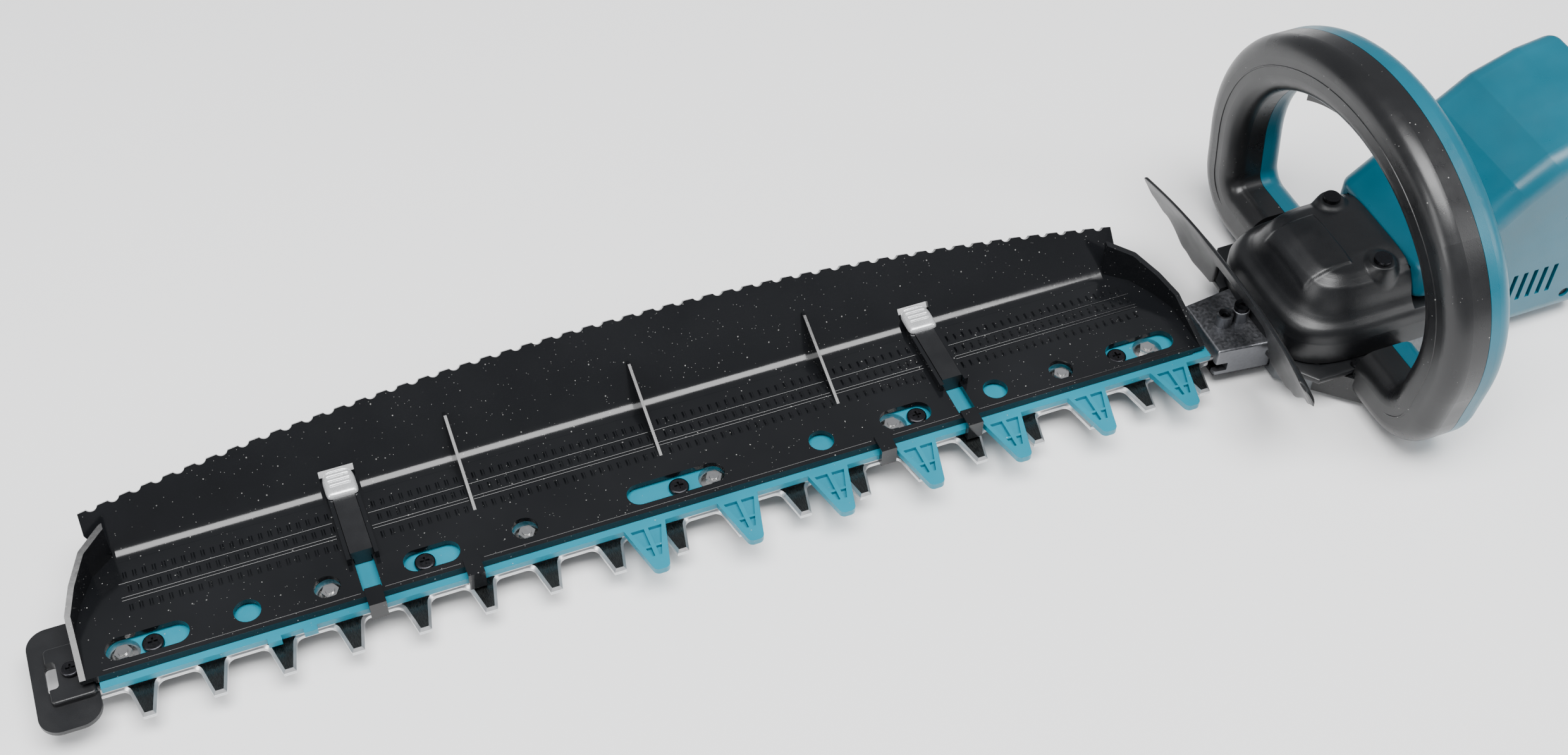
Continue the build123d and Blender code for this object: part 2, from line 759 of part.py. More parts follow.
with BuildPart() as crank_bearings:
    with BuildSketch(Plane.XY.offset(lower_bearing_z)):
        Circle(bearing_outer)
        Circle(journal_radius + running_gap, mode=Mode.SUBTRACT)
    extrude(amount=bearing_wide)
    with BuildSketch(Plane.XY.offset(plate_z)):
        Circle(11)
        Circle(4 + running_gap, mode=Mode.SUBTRACT)
    extrude(amount=bearing_wide)
crank_bearings.part.label = "crank_bearings"
export_step(crank_bearings.part, "parts/crank_bearings.step")

# ---------------------------------------------------------------- motor

end_cap_z = motor_seat_z + motor_high - 7
with BuildPart() as motor_pinion:
    with BuildSketch(Plane.XY.offset(gear_base_z - 0.5)):
        with Locations((motor_x, 0)):
            Polygon(*gear_points(pinion_teeth, math.pi / pinion_teeth + math.pi), align=None)
            Circle(motor_shaft_radius, mode=Mode.SUBTRACT)
    extrude(amount=gear_face + 1)
motor_pinion.part.label = "motor_pinion"
export_step(motor_pinion.part, "parts/motor_pinion.step")

with BuildPart() as motor_shaft:
    with Locations((motor_x, 0, gear_base_z - 1)):
        Cylinder(
            motor_shaft_radius,
            end_cap_z + 11 - gear_base_z,
            align=(Align.CENTER, Align.CENTER, Align.MIN),
        )
motor_shaft.part.label = "motor_shaft"
export_step(motor_shaft.part, "parts/motor_shaft.step")

with BuildPart() as motor_rotor:
    with BuildSketch(Plane.XY.offset(motor_seat_z + 1)):
        with Locations((motor_x, 0)):
            Circle(12)
            Circle(motor_shaft_radius, mode=Mode.SUBTRACT)
    extrude(amount=end_cap_z - motor_seat_z - 2)
motor_rotor.part.label = "motor_rotor"
export_step(motor_rotor.part, "parts/motor_rotor.step")

with BuildPart() as motor_stator:
    with BuildSketch(Plane.XY.offset(motor_seat_z)):
        with Locations((motor_x, 0)):
            Circle(motor_radius)
            Circle(12.6, mode=Mode.SUBTRACT)
            with PolarLocations(15.6, 6, start_angle=30):
                SlotOverall(5, 2.4, rotation=90, mode=Mode.SUBTRACT)
    extrude(amount=end_cap_z - motor_seat_z)
motor_stator.part.label = "motor_stator"
export_step(motor_stator.part, "parts/motor_stator.step")

with BuildPart() as motor_end_cap:
    with BuildSketch(Plane.XY.offset(end_cap_z)):
        with Locations((motor_x, 0)):
            Circle(motor_radius)
            Circle(motor_bearing_outer, mode=Mode.SUBTRACT)
            with PolarLocations(13, 6):
                Circle(2.5, mode=Mode.SUBTRACT)
    extrude(amount=bearing_wide)
motor_end_cap.part.label = "motor_end_cap"
export_step(motor_end_cap.part, "parts/motor_end_cap.step")

with BuildPart() as motor_bearings:
    for level in (plate_z, end_cap_z):
        with BuildSketch(Plane.XY.offset(level)):
            with Locations((motor_x, 0)):
                Circle(motor_bearing_outer)
                Circle(motor_shaft_radius + running_gap, mode=Mode.SUBTRACT)
        extrude(amount=bearing_wide)
motor_bearings.part.label = "motor_bearings"
export_step(motor_bearings.part, "parts/motor_bearings.step")

fan_z = end_cap_z + bearing_wide + 0.6
with BuildPart() as motor_fan:
    with BuildSketch(Plane.XY.offset(fan_z)):
        with Locations((motor_x, 0)):
            Circle(6)
            with PolarLocations(9, 9):
                Rectangle(8, 1.2, rotation=20)
            Circle(motor_shaft_radius, mode=Mode.SUBTRACT)
    extrude(amount=3.6)
    with BuildSketch(Plane.XY.offset(fan_z)):
        with Locations((motor_x, 0)):
            Circle(13)
            Circle(motor_shaft_radius, mode=Mode.SUBTRACT)
    extrude(amount=0.8)
motor_fan.part.label = "motor_fan"
export_step(motor_fan.part, "parts/motor_fan.step")

# ---------------------------------------------------------------- nose bracket

nose_back_x = case_front_x - 0.3
nose_plan = mirrored([(nose_front_x, nose_half), (nose_back_x, nose_half + 4)])
nose_cavity = 16.4
boss_top_z = nose_top_z + 8
with BuildPart() as nose_bracket:
    with BuildSketch(Plane.XY.offset(nose_base_z)):
        Polygon(*nose_plan, align=None)
    extrude(amount=nose_top_z - nose_base_z)
    fillet(nose_bracket.edges().filter_by(Axis.Z), radius=1.5)
    fillet(top_edges(nose_bracket), radius=1.5)
    with Locations(*[(x, 0, nose_top_z - 1) for x in nose_screw_xs]):
        Cylinder(4.95, boss_top_z - nose_top_z + 1, align=(Align.CENTER, Align.CENTER, Align.MIN))
    fillet(top_edges(nose_bracket), radius=0.7)
    with Locations((nose_front_x - 1, 0, nose_base_z - 1)):
        Box(
            nose_back_x - nose_front_x + 3,
            2 * nose_cavity,
            comb_z - nose_base_z + 1,
            align=(Align.MIN, Align.CENTER, Align.MIN),
            mode=Mode.SUBTRACT,
        )
    with Locations((nose_front_x - 1, 0, lower_blade_z - 0.5)):
        Box(
            stroke_half - 0.2,
            60,
            guide_z - lower_blade_z + 0.9,
            align=(Align.MIN, Align.CENTER, Align.MIN),
            mode=Mode.SUBTRACT,
        )
    with BuildSketch(Plane.XY.offset(boss_top_z - 5)):
        with Locations((nose_screw_xs[0], 0)):
            Circle(3.6)
    extrude(amount=6, mode=Mode.SUBTRACT)
    with BuildSketch(Plane.XY.offset(comb_z - 1)):
        with Locations(*[(x, 0) for x in nose_screw_xs]):
            Circle(screw_radius + slide_gap)
    extrude(amount=boss_top_z, mode=Mode.SUBTRACT)
nose_bracket.part.label = "nose_bracket"
export_step(nose_bracket.part, "parts/nose_bracket.step")

with BuildPart() as nose_screws:
    for x, head_z, head_radius in zip(nose_screw_xs, (boss_top_z - 5, boss_top_z), (3.4, 4.4)):
        with Locations((x, 0, guide_z + 0.4)):
            Cylinder(
                screw_radius, head_z - guide_z, align=(Align.CENTER, Align.CENTER, Align.MIN)
            )
        with Locations((x, 0, head_z)):
            Cylinder(head_radius, 3, align=(Align.CENTER, Align.CENTER, Align.MIN))
        with BuildSketch(Plane.XY.offset(head_z + 1)):
            with Locations((x, 0)):
                RegularPolygon(1.9, 6)
        extrude(amount=4, mode=Mode.SUBTRACT)
nose_screws.part.label = "nose_screws"
export_step(nose_screws.part, "parts/nose_screws.step")

with BuildPart() as under_cover:
    with BuildSketch(Plane.XY.offset(nose_base_z - 1.2)):
        Polygon(*nose_plan, align=None)
    extrude(amount=1.2)
    with Locations((nose_front_x, 0, nose_base_z - 1.2)):
        Box(1.5, 30, 2.7, align=(Align.MIN, Align.CENTER, Align.MIN))
under_cover.part.label = "under_cover"
export_step(under_cover.part, "parts/under_cover.step")

# ---------------------------------------------------------------- gear cover

skirt_plan = mirrored(
    [(cover_front_x, 34), (-33, cover_skirt_half), (case_back_x - 2, cover_skirt_half)]
)
skirt_inner = mirrored(
    [
        (cover_front_x + cover_wall, 33),
        (-32, case_half + 0.3),
        (case_back_x + 5, case_half + 0.3),
    ]
)
dome_back_x = cover_back_x + 6.7
dome_profile = [
    (cover_dome_front_x, cover_step_z - 4),
    (cover_dome_front_x + 5, 64),
    (cover_dome_front_x + 12, 67),
    (0, cover_top_z - 2),
    (dome_back_x, cover_top_z),
    (dome_back_x, cover_step_z - 4),
]
dome_hollow = [
    (cover_dome_front_x + cover_wall, cover_step_z - 6),
    (cover_dome_front_x + 5 + cover_wall, 62),
    (cover_dome_front_x + 13, 64.4),
    (0, cover_top_z - 2 - cover_wall),
    (dome_back_x + 1, cover_top_z - cover_wall),
    (dome_back_x + 1, cover_step_z - 6),
]
with BuildPart() as gear_cover:
    with BuildSketch(Plane.XZ.offset(-cover_dome_half)):
        Polygon(*dome_profile, align=None)
    extrude(amount=2 * cover_dome_half)
    sides = gear_cover.faces().filter_by(Axis.Y).edges()
    crown = sides.filter_by(lambda e: e.center().Z > cover_step_z - 3 and e.center().X < dome_back_x - 1)
    fillet(crown, radius=9)
    with BuildSketch(Plane.XY.offset(cover_skirt_z)):
        Polygon(*skirt_plan, align=None)
    extrude(amount=cover_step_z - cover_skirt_z)
    rim = [e for e in gear_cover.edges() if abs(e.center().Z - cover_step_z) < 0.1]
    rim = [e for e in rim if abs(e.center().Y) > cover_dome_half + 3 or e.center().X < cover_dome_front_x - 3]
    rim = [e for e in rim if e.center().X < case_back_x]
    fillet(rim, radius=3)
    with BuildSketch(Plane.XY.offset(cover_skirt_z - 1)):
        Polygon(*skirt_inner, align=None)
    extrude(amount=cover_step_z - cover_wall - cover_skirt_z + 1, mode=Mode.SUBTRACT)
    with BuildSketch(Plane.XZ.offset(-cover_dome_half + cover_wall)):
        Polygon(*dome_hollow, align=None)
    extrude(amount=2 * (cover_dome_half - cover_wall), mode=Mode.SUBTRACT)
    with Locations((dome_back_x - 8, 0, cover_step_z - 5)):
        Box(60, 72, 9, align=(Align.MIN, Align.CENTER, Align.MIN), mode=Mode.SUBTRACT)
    with Locations((cover_front_x - 1, 0, cover_skirt_z - 1)):
        Box(5, 2 * nose_half + 12, 2.8, align=(Align.MIN, Align.CENTER, Align.MIN), mode=Mode.SUBTRACT)
    with BuildSketch(Plane.XY.offset(cover_step_z)):
        with Locations((cover_screw_x, cover_screw_y), (cover_screw_x, -cover_screw_y)):
            Circle(5)
    extrude(amount=cover_top_z - cover_step_z - 1)
    with BuildSketch(Plane.XY.offset(cover_step_z - 1)):
        with Locations((cover_screw_x, cover_screw_y), (cover_screw_x, -cover_screw_y)):
            Circle(screw_radius + slide_gap)
    extrude(amount=40, mode=Mode.SUBTRACT)
gear_cover.part.label = "gear_cover"
export_step(gear_cover.part, "parts/gear_cover.step")

with BuildPart() as gear_cover_screws:
    for y in (-cover_screw_y, cover_screw_y):
        with Locations((cover_screw_x, y, cover_step_z - 6)):
            Cylinder(
                screw_radius,
                cover_top_z - cover_step_z + 6.5,
                align=(Align.CENTER, Align.CENTER, Align.MIN),
            )
        with Locations((cover_screw_x, y, cover_top_z + 0.1)):
            Cylinder(5, 2.4, align=(Align.CENTER, Align.CENTER, Align.MIN))
gear_cover_screws.part.label = "gear_cover_screws"
export_step(gear_cover_screws.part, "parts/gear_cover_screws.step")

# ---------------------------------------------------------------- hand guard

lean = math.radians(guard_lean)
guard_plane = Plane(
    origin=(guard_top_x, 0, guard_top_z),
    x_dir=(0, 1, 0),
    z_dir=(-math.cos(lean), 0, -math.sin(lean)),
)
guard_drop = (guard_top_z - guard_root_z) / math.cos(lean)
guard_half_outline = [
    (guard_span_half - 12, -3),
    (guard_span_half, 3),
    (guard_span_half - 4, 12),
    (guard_root_half + 24, guard_drop - 10),
    (guard_root_half + 11, guard_drop),
]
guard_outline = guard_half_outline + [(-x, y) for x, y in reversed(guard_half_outline)]
brim_high = 4.0
brim_half = 58.0
brim_z = cover_skirt_z - 1 - brim_high
arm_clear = brim_half + 0.4
guard_screw_spots = [(x, y) for x in (-10, 17) for y in (-54.4, 54.4)]
brim_plan = mirrored([(case_front_x - 4, 40), (-34, brim_half), (loop_back_x - 1, brim_half)])
brim_inner = mirrored(
    [
        (case_front_x - 0.3, case_nose_half - 1),
        (case_front_x - 0.3, case_nose_half + 0.2),
        (case_front_x + 15.8, case_half + 0.3),
        (loop_back_x + 5, case_half + 0.3),
    ]
)
with BuildPart() as hand_guard:
    with BuildSketch(guard_plane) as guard_face:
        Polygon(*guard_outline, align=None)
        corners = [v for v in guard_face.vertices() if abs(v.Y) > guard_span_half - 6]
        fillet(corners, radius=3)
    extrude(amount=-guard_thick)
    with BuildSketch(Plane.XY.offset(brim_z)):
        Polygon(*brim_plan, align=None)
    extrude(amount=brim_high)
    with BuildSketch(Plane.XY.offset(brim_z - 1)):
        Polygon(*brim_inner, align=None)
        with Locations((nose_front_x, 0)):
            Rectangle(2 * (case_front_x - nose_front_x) + 4, 2 * nose_half + 12)
    extrude(amount=brim_high + 0.6, mode=Mode.SUBTRACT)
    with BuildSketch(Plane.XY.offset(cover_skirt_z - 0.4)):
        Polygon(*skirt_plan, align=None)
        offset(amount=0.4)
    extrude(amount=cover_step_z - cover_skirt_z + 0.8, mode=Mode.SUBTRACT)
    with BuildSketch(Plane.XZ.offset(-cover_dome_half - 0.4)):
        Polygon(*dome_profile, align=None)
        offset(amount=0.4)
    extrude(amount=2 * cover_dome_half + 0.8, mode=Mode.SUBTRACT)
    with BuildSketch(Plane.XY.offset(brim_z - 10)):
        Polygon(*case_plan, align=None)
        offset(amount=0.3)
    extrude(amount=case_top_z - brim_z + 11, mode=Mode.SUBTRACT)
    with Locations((0, 0, boss_top_z - 5)):
        Box(130, 2 * nose_half + 12, 30, mode=Mode.SUBTRACT)
    with BuildSketch(Plane.XY.offset(brim_z - 1)):
        with Locations(*guard_screw_spots):
            Circle(1.6)
    extrude(amount=10, mode=Mode.SUBTRACT)
hand_guard.part.label = "hand_guard"
export_step(hand_guard.part, "parts/hand_guard.step")

with BuildPart() as guard_screws:
    for x, y in guard_screw_spots:
        with Locations((x, y, brim_z - 9)):
            Cylinder(1.5, 9 + brim_high, align=(Align.CENTER, Align.CENTER, Align.MIN))
        with Locations((x, y, brim_z + brim_high)):
            Cylinder(3.2, 2, align=(Align.CENTER, Align.CENTER, Align.MIN))
guard_screws.part.label = "guard_screws"
export_step(guard_screws.part, "parts/guard_screws.step")

# ---------------------------------------------------------------- front handle loop

loop_half = loop_tube / 2
grip_points = [(-30, 46.4), (-5, 69), (loop_split_x - 0.15, 96), (loop_split_x - 0.15, 46.4)]
shell_points = [
    (loop_split_x + 0.15, 46.4),
    (loop_split_x + 0.15, 96),
    (loop_back_x, 96),
    (loop_back_x, 46.4),
]
handle_screw_spots = [(84, 24), (109, 82), (64, 152)]
handle_screw_spots += [(-y, z) for y, z in handle_screw_spots]


def on_arc(middle, radius, angle):
    """The point at an angle in degrees on a circle."""
    turn = math.radians(angle)
    return (middle[0] + radius * math.cos(turn), middle[1] + radius * math.sin(turn))


loop_low = loop_base_z + loop_half
top_middle = (0, loop_top_z - loop_half - loop_top_radius)
shoulder = on_arc(top_middle, loop_top_radius, loop_shoulder_turn)
side_middle = on_arc(shoulder, -loop_side_radius, loop_shoulder_turn)
side_end = on_arc(side_middle, loop_side_radius, loop_side_turn)
side_drop = math.radians(loop_side_turn)
corner_z = loop_low + loop_corner_radius * (1 + math.sin(side_drop))
corner_y = side_end[0] + (side_end[1] - corner_z) * math.tan(side_drop)
corner_middle = on_arc((corner_y, corner_z), -loop_corner_radius, loop_side_turn)


def loop_face(outset):
    """The area inside a closed line that runs a constant distance from the tube's middle line."""
    with BuildSketch() as face:
        with BuildLine():
            CenterArc(top_middle, loop_top_radius + outset, 90, loop_shoulder_turn - 90)
            CenterArc(
                side_middle,
                loop_side_radius + outset,
                loop_shoulder_turn,
                loop_side_turn - loop_shoulder_turn,
            )
            Line(
                on_arc(side_middle, loop_side_radius + outset, loop_side_turn),
                on_arc(corner_middle, loop_corner_radius + outset, loop_side_turn),
            )
            CenterArc(
                corner_middle,
                loop_corner_radius + outset,
                loop_side_turn,
                -90 - loop_side_turn,
            )
            Line((corner_middle[0], loop_low - outset), (0, loop_low - outset))
            mirror(about=Plane.YZ)
        make_face()
    return face.sketch


def loop_band(front, back, outer, inner):
    """A band of the loop from one X to another, between two distances from its middle line."""
    with BuildPart() as band:
        with BuildSketch(Plane.YZ.offset(front)):
            add(loop_face(outer))
            add(loop_face(inner), mode=Mode.SUBTRACT)
        extrude(amount=back - front)
    return band.part


with BuildPart() as loop_solid:
    add(loop_band(loop_front_x, loop_back_x, loop_half, -loop_half))
    fillet(loop_solid.faces().filter_by(Axis.X).edges(), radius=11)
    with Locations((0, 0, brim_z - 0.3)):
        Box(
            100,
            2 * arm_clear,
            loop_low,
            align=(Align.CENTER, Align.CENTER, Align.MIN),
            mode=Mode.SUBTRACT,
        )
    with Locations((0, 0, 0)):
        Box(
            100,
            2 * (case_half + 0.4),
            60,
            align=(Align.CENTER, Align.CENTER, Align.MIN),
            mode=Mode.SUBTRACT,
        )

with BuildPart() as loop_hollow:
    add(
        loop_band(
            loop_front_x + loop_wall,
            loop_back_x - loop_wall,
            loop_half - loop_wall,
            loop_wall - loop_half,
        )
    )
    fillet(loop_hollow.faces().filter_by(Axis.X).edges(), radius=8)
    Box(100, 2 * arm_clear + 2 * loop_wall, 100, mode=Mode.SUBTRACT)
    with BuildSketch(Plane.YZ.offset(loop_front_x)):
        with Locations(*handle_screw_spots):
            Circle(5)
    extrude(amount=loop_back_x - loop_front_x, mode=Mode.SUBTRACT)

lever_mid_x = loop_split_x - 1.5
lever_wide = 15.0
lever_slot = Pos(lever_mid_x, 0, loop_top_z - 41) * Box(lever_wide + 0.8, 2 * lever_half + 0.8, 42)


def loop_part(low_x, high_x, foot):
    """One shell of the loop: the tube between two X values, its foot, hollow and screw holes."""
    with BuildPart() as shell:
        add(loop_solid.part)
        split(bisect_by=Plane.YZ.offset(low_x), keep=Keep.TOP)
        split(bisect_by=Plane.YZ.offset(high_x), keep=Keep.BOTTOM)
        with BuildSketch(Plane.XY.offset(case_base_z + 1)):
            Polygon(*foot, align=None)
            Polygon(*[(x, -y) for x, y in reversed(foot)], align=None)
        extrude(amount=brim_z - 0.3 - case_base_z - 1)
        add(loop_hollow.part, mode=Mode.SUBTRACT)
        add(lever_slot, mode=Mode.SUBTRACT)
        with BuildSketch(Plane.YZ.offset(loop_front_x + loop_wall + 2)):
            with Locations(*handle_screw_spots):
                Circle(1.6)
        extrude(amount=60, mode=Mode.SUBTRACT)
        with BuildSketch(Plane.YZ.offset(loop_back_x - 2.6)):
            with Locations(*handle_screw_spots):
                Circle(3.6)
        extrude(amount=60, mode=Mode.SUBTRACT)
        with BuildSketch(Plane.XY.offset(brim_z - 12)):
            with Locations(*guard_screw_spots):
                Circle(1.5)
        extrude(amount=20, mode=Mode.SUBTRACT)
    return shell.part


with BuildPart() as front_grip:
    add(loop_part(loop_front_x - 20, loop_split_x - 0.15, grip_points))
front_grip.part.label = "front_grip"
export_step(front_grip.part, "parts/front_grip.step")

with BuildPart() as front_handle_shell:
    add(loop_part(loop_split_x + 0.15, loop_back_x + 20, shell_points))
front_handle_shell.part.label = "front_handle_shell"
export_step(front_handle_shell.part, "parts/front_handle_shell.step")

with BuildPart() as handle_screws:
    with BuildSketch(Plane.YZ.offset(loop_front_x + loop_wall + 3)):
        with Locations(*handle_screw_spots):
            Circle(1.5)
    extrude(amount=loop_back_x - loop_front_x - loop_wall - 5.6)
    with BuildSketch(Plane.YZ.offset(loop_back_x - 2.6)):
        with Locations(*handle_screw_spots):
            Circle(3.3)
    extrude(amount=2)
handle_screws.part.label = "handle_screws"
export_step(handle_screws.part, "parts/handle_screws.step")

lever_top = loop_wall - loop_half + 2.4
lever_flange = loop_band(lever_mid_x - 8.4, lever_mid_x + 8.4, lever_top, lever_top - 2.1)
lever_flange = lever_flange & Pos(0, 0, loop_top_z) * Box(100, 2 * lever_half - 10, 120)
with BuildPart() as front_switch_lever:
    add(loop_band(lever_mid_x - lever_wide / 2, lever_mid_x + lever_wide / 2, lever_top, -loop_half - 6))
    with Locations((0, 0, loop_top_z)):
        Box(100, 2 * lever_half, 120, mode=Mode.INTERSECT)
    lever_rims = front_switch_lever.faces().filter_by(Axis.X).edges().filter_by(GeomType.CIRCLE)
    fillet(lever_rims.group_by(SortBy.LENGTH)[0], radius=2)
    add(lever_flange)
front_switch_lever.part.label = "front_switch_lever"
export_step(front_switch_lever.part, "parts/front_switch_lever.step")

with BuildPart() as front_microswitch:
    with Locations((lever_mid_x, 0, loop_top_z - 17)):
        Box(12, 24, 10)
    with Locations((lever_mid_x, 5, loop_top_z - 22)):
        Box(2, 3, 2)
front_microswitch.part.label = "front_microswitch"
export_step(front_microswitch.part, "parts/front_microswitch.step")

# ---------------------------------------------------------------- housing halves

bay_points = [
    (cover_back_x + 7, cover_step_z + 0.4),
    (cover_back_x + 7, 74),
    (case_back_x - 1, 100),
    (79, 120),
    (98, 135),
    (126, hump_z - 4),
    (bay_back_x, hump_z),
    (bay_back_x + 8, hump_z - 12),
    (bay_back_x + 8, shell_base_z),
    (case_back_x + 1.3, shell_base_z),
    (case_back_x + 1.3, cover_step_z + 0.4),
]
grip_outline = [
    (bay_back_x - 10, shell_base_z + 1),
    (bay_back_x - 10, hump_z - 1),
    (bay_back_x + 6, hump_z + 1),
    (bay_back_x + 60, hump_z - 4),
    (shell_back_x - 30, grip_back_z + 2),
    (shell_back_x - 2, grip_back_z - 4),
    (shell_back_x - 2, shell_base_z + 1),
]
finger_opening = [
    (opening_front_x, opening_base_z),
    (opening_front_x, opening_front_z),
    (opening_back_x, opening_back_z),
    (opening_back_x, opening_base_z),
]
battery_bay = [
    (shell_back_x - 40, shell_base_z),
    (shell_back_x - 36, grip_back_z),
    (shell_back_x, grip_back_z),
    (shell_back_x, shell_base_z),
]


def side_block(outline, hole, half, rounding, inset, corner):
    """An outline in XZ thickened both ways about Y=0 and rounded, then shrunk by an inset."""
    with BuildPart() as block:
        with BuildSketch(Plane.XZ) as face:
            Polygon(*outline, align=None)
            fillet(face.vertices(), radius=corner)
            if inset:
                offset(amount=-inset)
        extrude(amount=half - inset, both=True)
        if hole:
            with BuildSketch(Plane.XZ) as gap:
                Polygon(*hole, align=None)
                fillet(gap.vertices(), radius=14)
                if inset:
                    offset(amount=inset)
            extrude(amount=half - inset, both=True, mode=Mode.SUBTRACT)
        fillet(block.faces().filter_by(Axis.Y).edges(), radius=rounding - inset)
    return block.part


def screw_axes(spots):
    """Locations on Y=0 of screws that run along Y."""
    return [Location((x, 0, z), (90, 0, 0)) for x, z in spots]


bay_round = 12.0
grip_round = 9.0
rail_round = 5.0
plate_front_x = shell_back_x - 10
bay_screws = [(84, 22), (140, 22), (112, 122)]
grip_screws = [(215, 24), (262, 120)]
rail_screws = [(304, 24), (304, 110)]
screw_groups = [(bay_screws, bay_half - 1), (grip_screws, grip_half), (rail_screws, rail_half)]
trigger_pivot = (175.0, 119.0)
trigger_half = 7.0
trigger_pin_radius = 2.0
lock_x = 220.0
lock_half_long = 15.0
lock_half = 7.5
rail_spots = [(shell_back_x - 5.2, side * 24.6) for side in (-1, 1)]
terminal_half = 11.0
terminal_base_z = 24.0
terminal_high = 16.0
vent_xs = [90 + 7 * i for i in range(6)]

with BuildPart() as housing_outside:
    add(side_block(bay_points, None, bay_half - 1, bay_round, 0, 4))
    add(side_block(grip_outline, finger_opening, grip_half, grip_round, 0, 10))
    add(side_block(battery_bay, None, rail_half, rail_round, 0, 4.8))

with BuildPart() as housing:
    add(housing_outside.part)
    add(side_block(bay_points, None, bay_half - 1, bay_round, shell_wall, 4), mode=Mode.SUBTRACT)
    add(
        side_block(grip_outline, finger_opening, grip_half, grip_round, shell_wall, 10),
        mode=Mode.SUBTRACT,
    )
    add(side_block(battery_bay, None, rail_half, rail_round, shell_wall, 4.8), mode=Mode.SUBTRACT)
    with Locations((plate_front_x, 0, shell_base_z + 2)):
        Box(
            shell_back_x - plate_front_x,
            2 * rail_half - 4,
            grip_back_z - shell_base_z - 4,
            align=(Align.MIN, Align.CENTER, Align.MIN),
        )
    for x in (83, 131):
        with Locations((x, 0, shell_base_z + 1)):
            Box(6, 40, 62 - shell_base_z - 1, align=(Align.CENTER, Align.CENTER, Align.MIN))
    with Locations((235, 0, opening_back_z + 3)):
        Box(12, 18, 10, align=(Align.CENTER, Align.CENTER, Align.MIN))
    for spots, half in screw_groups:
        with Locations(*screw_axes(spots)):
            Cylinder(4.5, 2 * half - 3)
    with Locations(*screw_axes([trigger_pivot])):
        Cylinder(5, 2 * grip_half - 3)
    with Locations((trigger_pivot[0], 0, trigger_pivot[1])):
        Box(11, 2 * trigger_half + 1.2, 11, mode=Mode.SUBTRACT)
    for spots, half in screw_groups:
        with Locations(*screw_axes(spots)):
            Cylinder(1.6, 2 * half - 8, mode=Mode.SUBTRACT)
        for x, z in spots:
            with Locations(Location((x, -half + 1, z), (90, 0, 0))):
                Cylinder(3.4, 6, mode=Mode.SUBTRACT)
    with Locations(*screw_axes([trigger_pivot])):
        Cylinder(trigger_pin_radius, 2 * grip_half - 6, mode=Mode.SUBTRACT)
    with Locations((cover_back_x, 0, 53)):
        Box(14, 66, 18, align=(Align.MIN, Align.CENTER, Align.MIN), mode=Mode.SUBTRACT)
    with Locations((cover_back_x, 0, case_top_z - 0.6)):
        Box(44.5, 66, 12, align=(Align.MIN, Align.CENTER, Align.MIN), mode=Mode.SUBTRACT)
    with Locations(((opening_front_x + 219) / 2, 0, 106)):
        Box(219 - opening_front_x - 1, 2 * trigger_half + 1.2, 22, mode=Mode.SUBTRACT)
    with Locations((lock_x, 0, 146)):
        Box(2 * lock_half_long + 0.8, 2 * lock_half + 0.8, 14, mode=Mode.SUBTRACT)
    for x, y in rail_spots:
        with Locations((x, y, shell_base_z + 7)):
            Box(
                4.4,
                17,
                150,
                align=(Align.CENTER, Align.CENTER, Align.MIN),
                mode=Mode.SUBTRACT,
            )
        with Locations((shell_back_x - 4, y, shell_base_z + 7)):
            Box(8, 10, 150, align=(Align.MIN, Align.CENTER, Align.MIN), mode=Mode.SUBTRACT)
    with Locations((shell_back_x - 16, 0, terminal_base_z)):
        Box(
            30,
            2 * terminal_half,
            terminal_high,
            align=(Align.MIN, Align.CENTER, Align.MIN),
            mode=Mode.SUBTRACT,
        )
    with Locations(*[(x, 0, 40) for x in vent_xs]):
        Box(3, 200, 22, mode=Mode.SUBTRACT)

with BuildPart() as housing_left:
    add(housing.part)
    split(bisect_by=Plane.XZ, keep=Keep.TOP)
housing_left.part.label = "housing_left"
export_step(housing_left.part, "parts/housing_left.step")

with BuildPart() as housing_right:
    add(housing.part)
    split(bisect_by=Plane.XZ, keep=Keep.BOTTOM)
housing_right.part.label = "housing_right"
export_step(housing_right.part, "parts/housing_right.step")

with BuildPart() as housing_screws:
    for spots, half in screw_groups:
        for x, z in spots:
            with Locations(Location((x, 3 - half / 2, z), (90, 0, 0))):
                Cylinder(1.5, half - 3)
            with Locations(Location((x, 2.7 - half, z), (90, 0, 0))):
                Cylinder(3, 2.4)
housing_screws.part.label = "housing_screws"
export_step(housing_screws.part, "parts/housing_screws.step")

with BuildPart() as rear_grip_pad:
    add(side_block(grip_outline, None, grip_half, grip_round, -1.4, 10))
    with Locations((268, 0, 136)):
        Box(58, 80, 30, mode=Mode.INTERSECT)
    add(housing_outside.part, mode=Mode.SUBTRACT)
rear_grip_pad.part.label = "rear_grip_pad"
export_step(rear_grip_pad.part, "parts/rear_grip_pad.step")

# ---------------------------------------------------------------- controls

trigger_profile = [
    (170, 124),
    (182, 124),
    (213, 119),
    (216, 112),
    (214, 102),
    (206, 97),
    (190, 101),
    (176, 104),
    (171, 110),
]
with BuildPart() as trigger:
    with BuildSketch(Plane.XZ) as trigger_face:
        Polygon(*trigger_profile, align=None)
        fillet(trigger_face.vertices(), radius=1.8)
        with Locations(trigger_pivot):
            Circle(trigger_pin_radius + running_gap, mode=Mode.SUBTRACT)
    extrude(amount=trigger_half, both=True)
trigger.part.label = "trigger"
export_step(trigger.part, "parts/trigger.step")

with BuildPart() as trigger_pin:
    with Locations(*screw_axes([trigger_pivot])):
        Cylinder(trigger_pin_radius, 2 * grip_half - 6)
trigger_pin.part.label = "trigger_pin"
export_step(trigger_pin.part, "parts/trigger_pin.step")

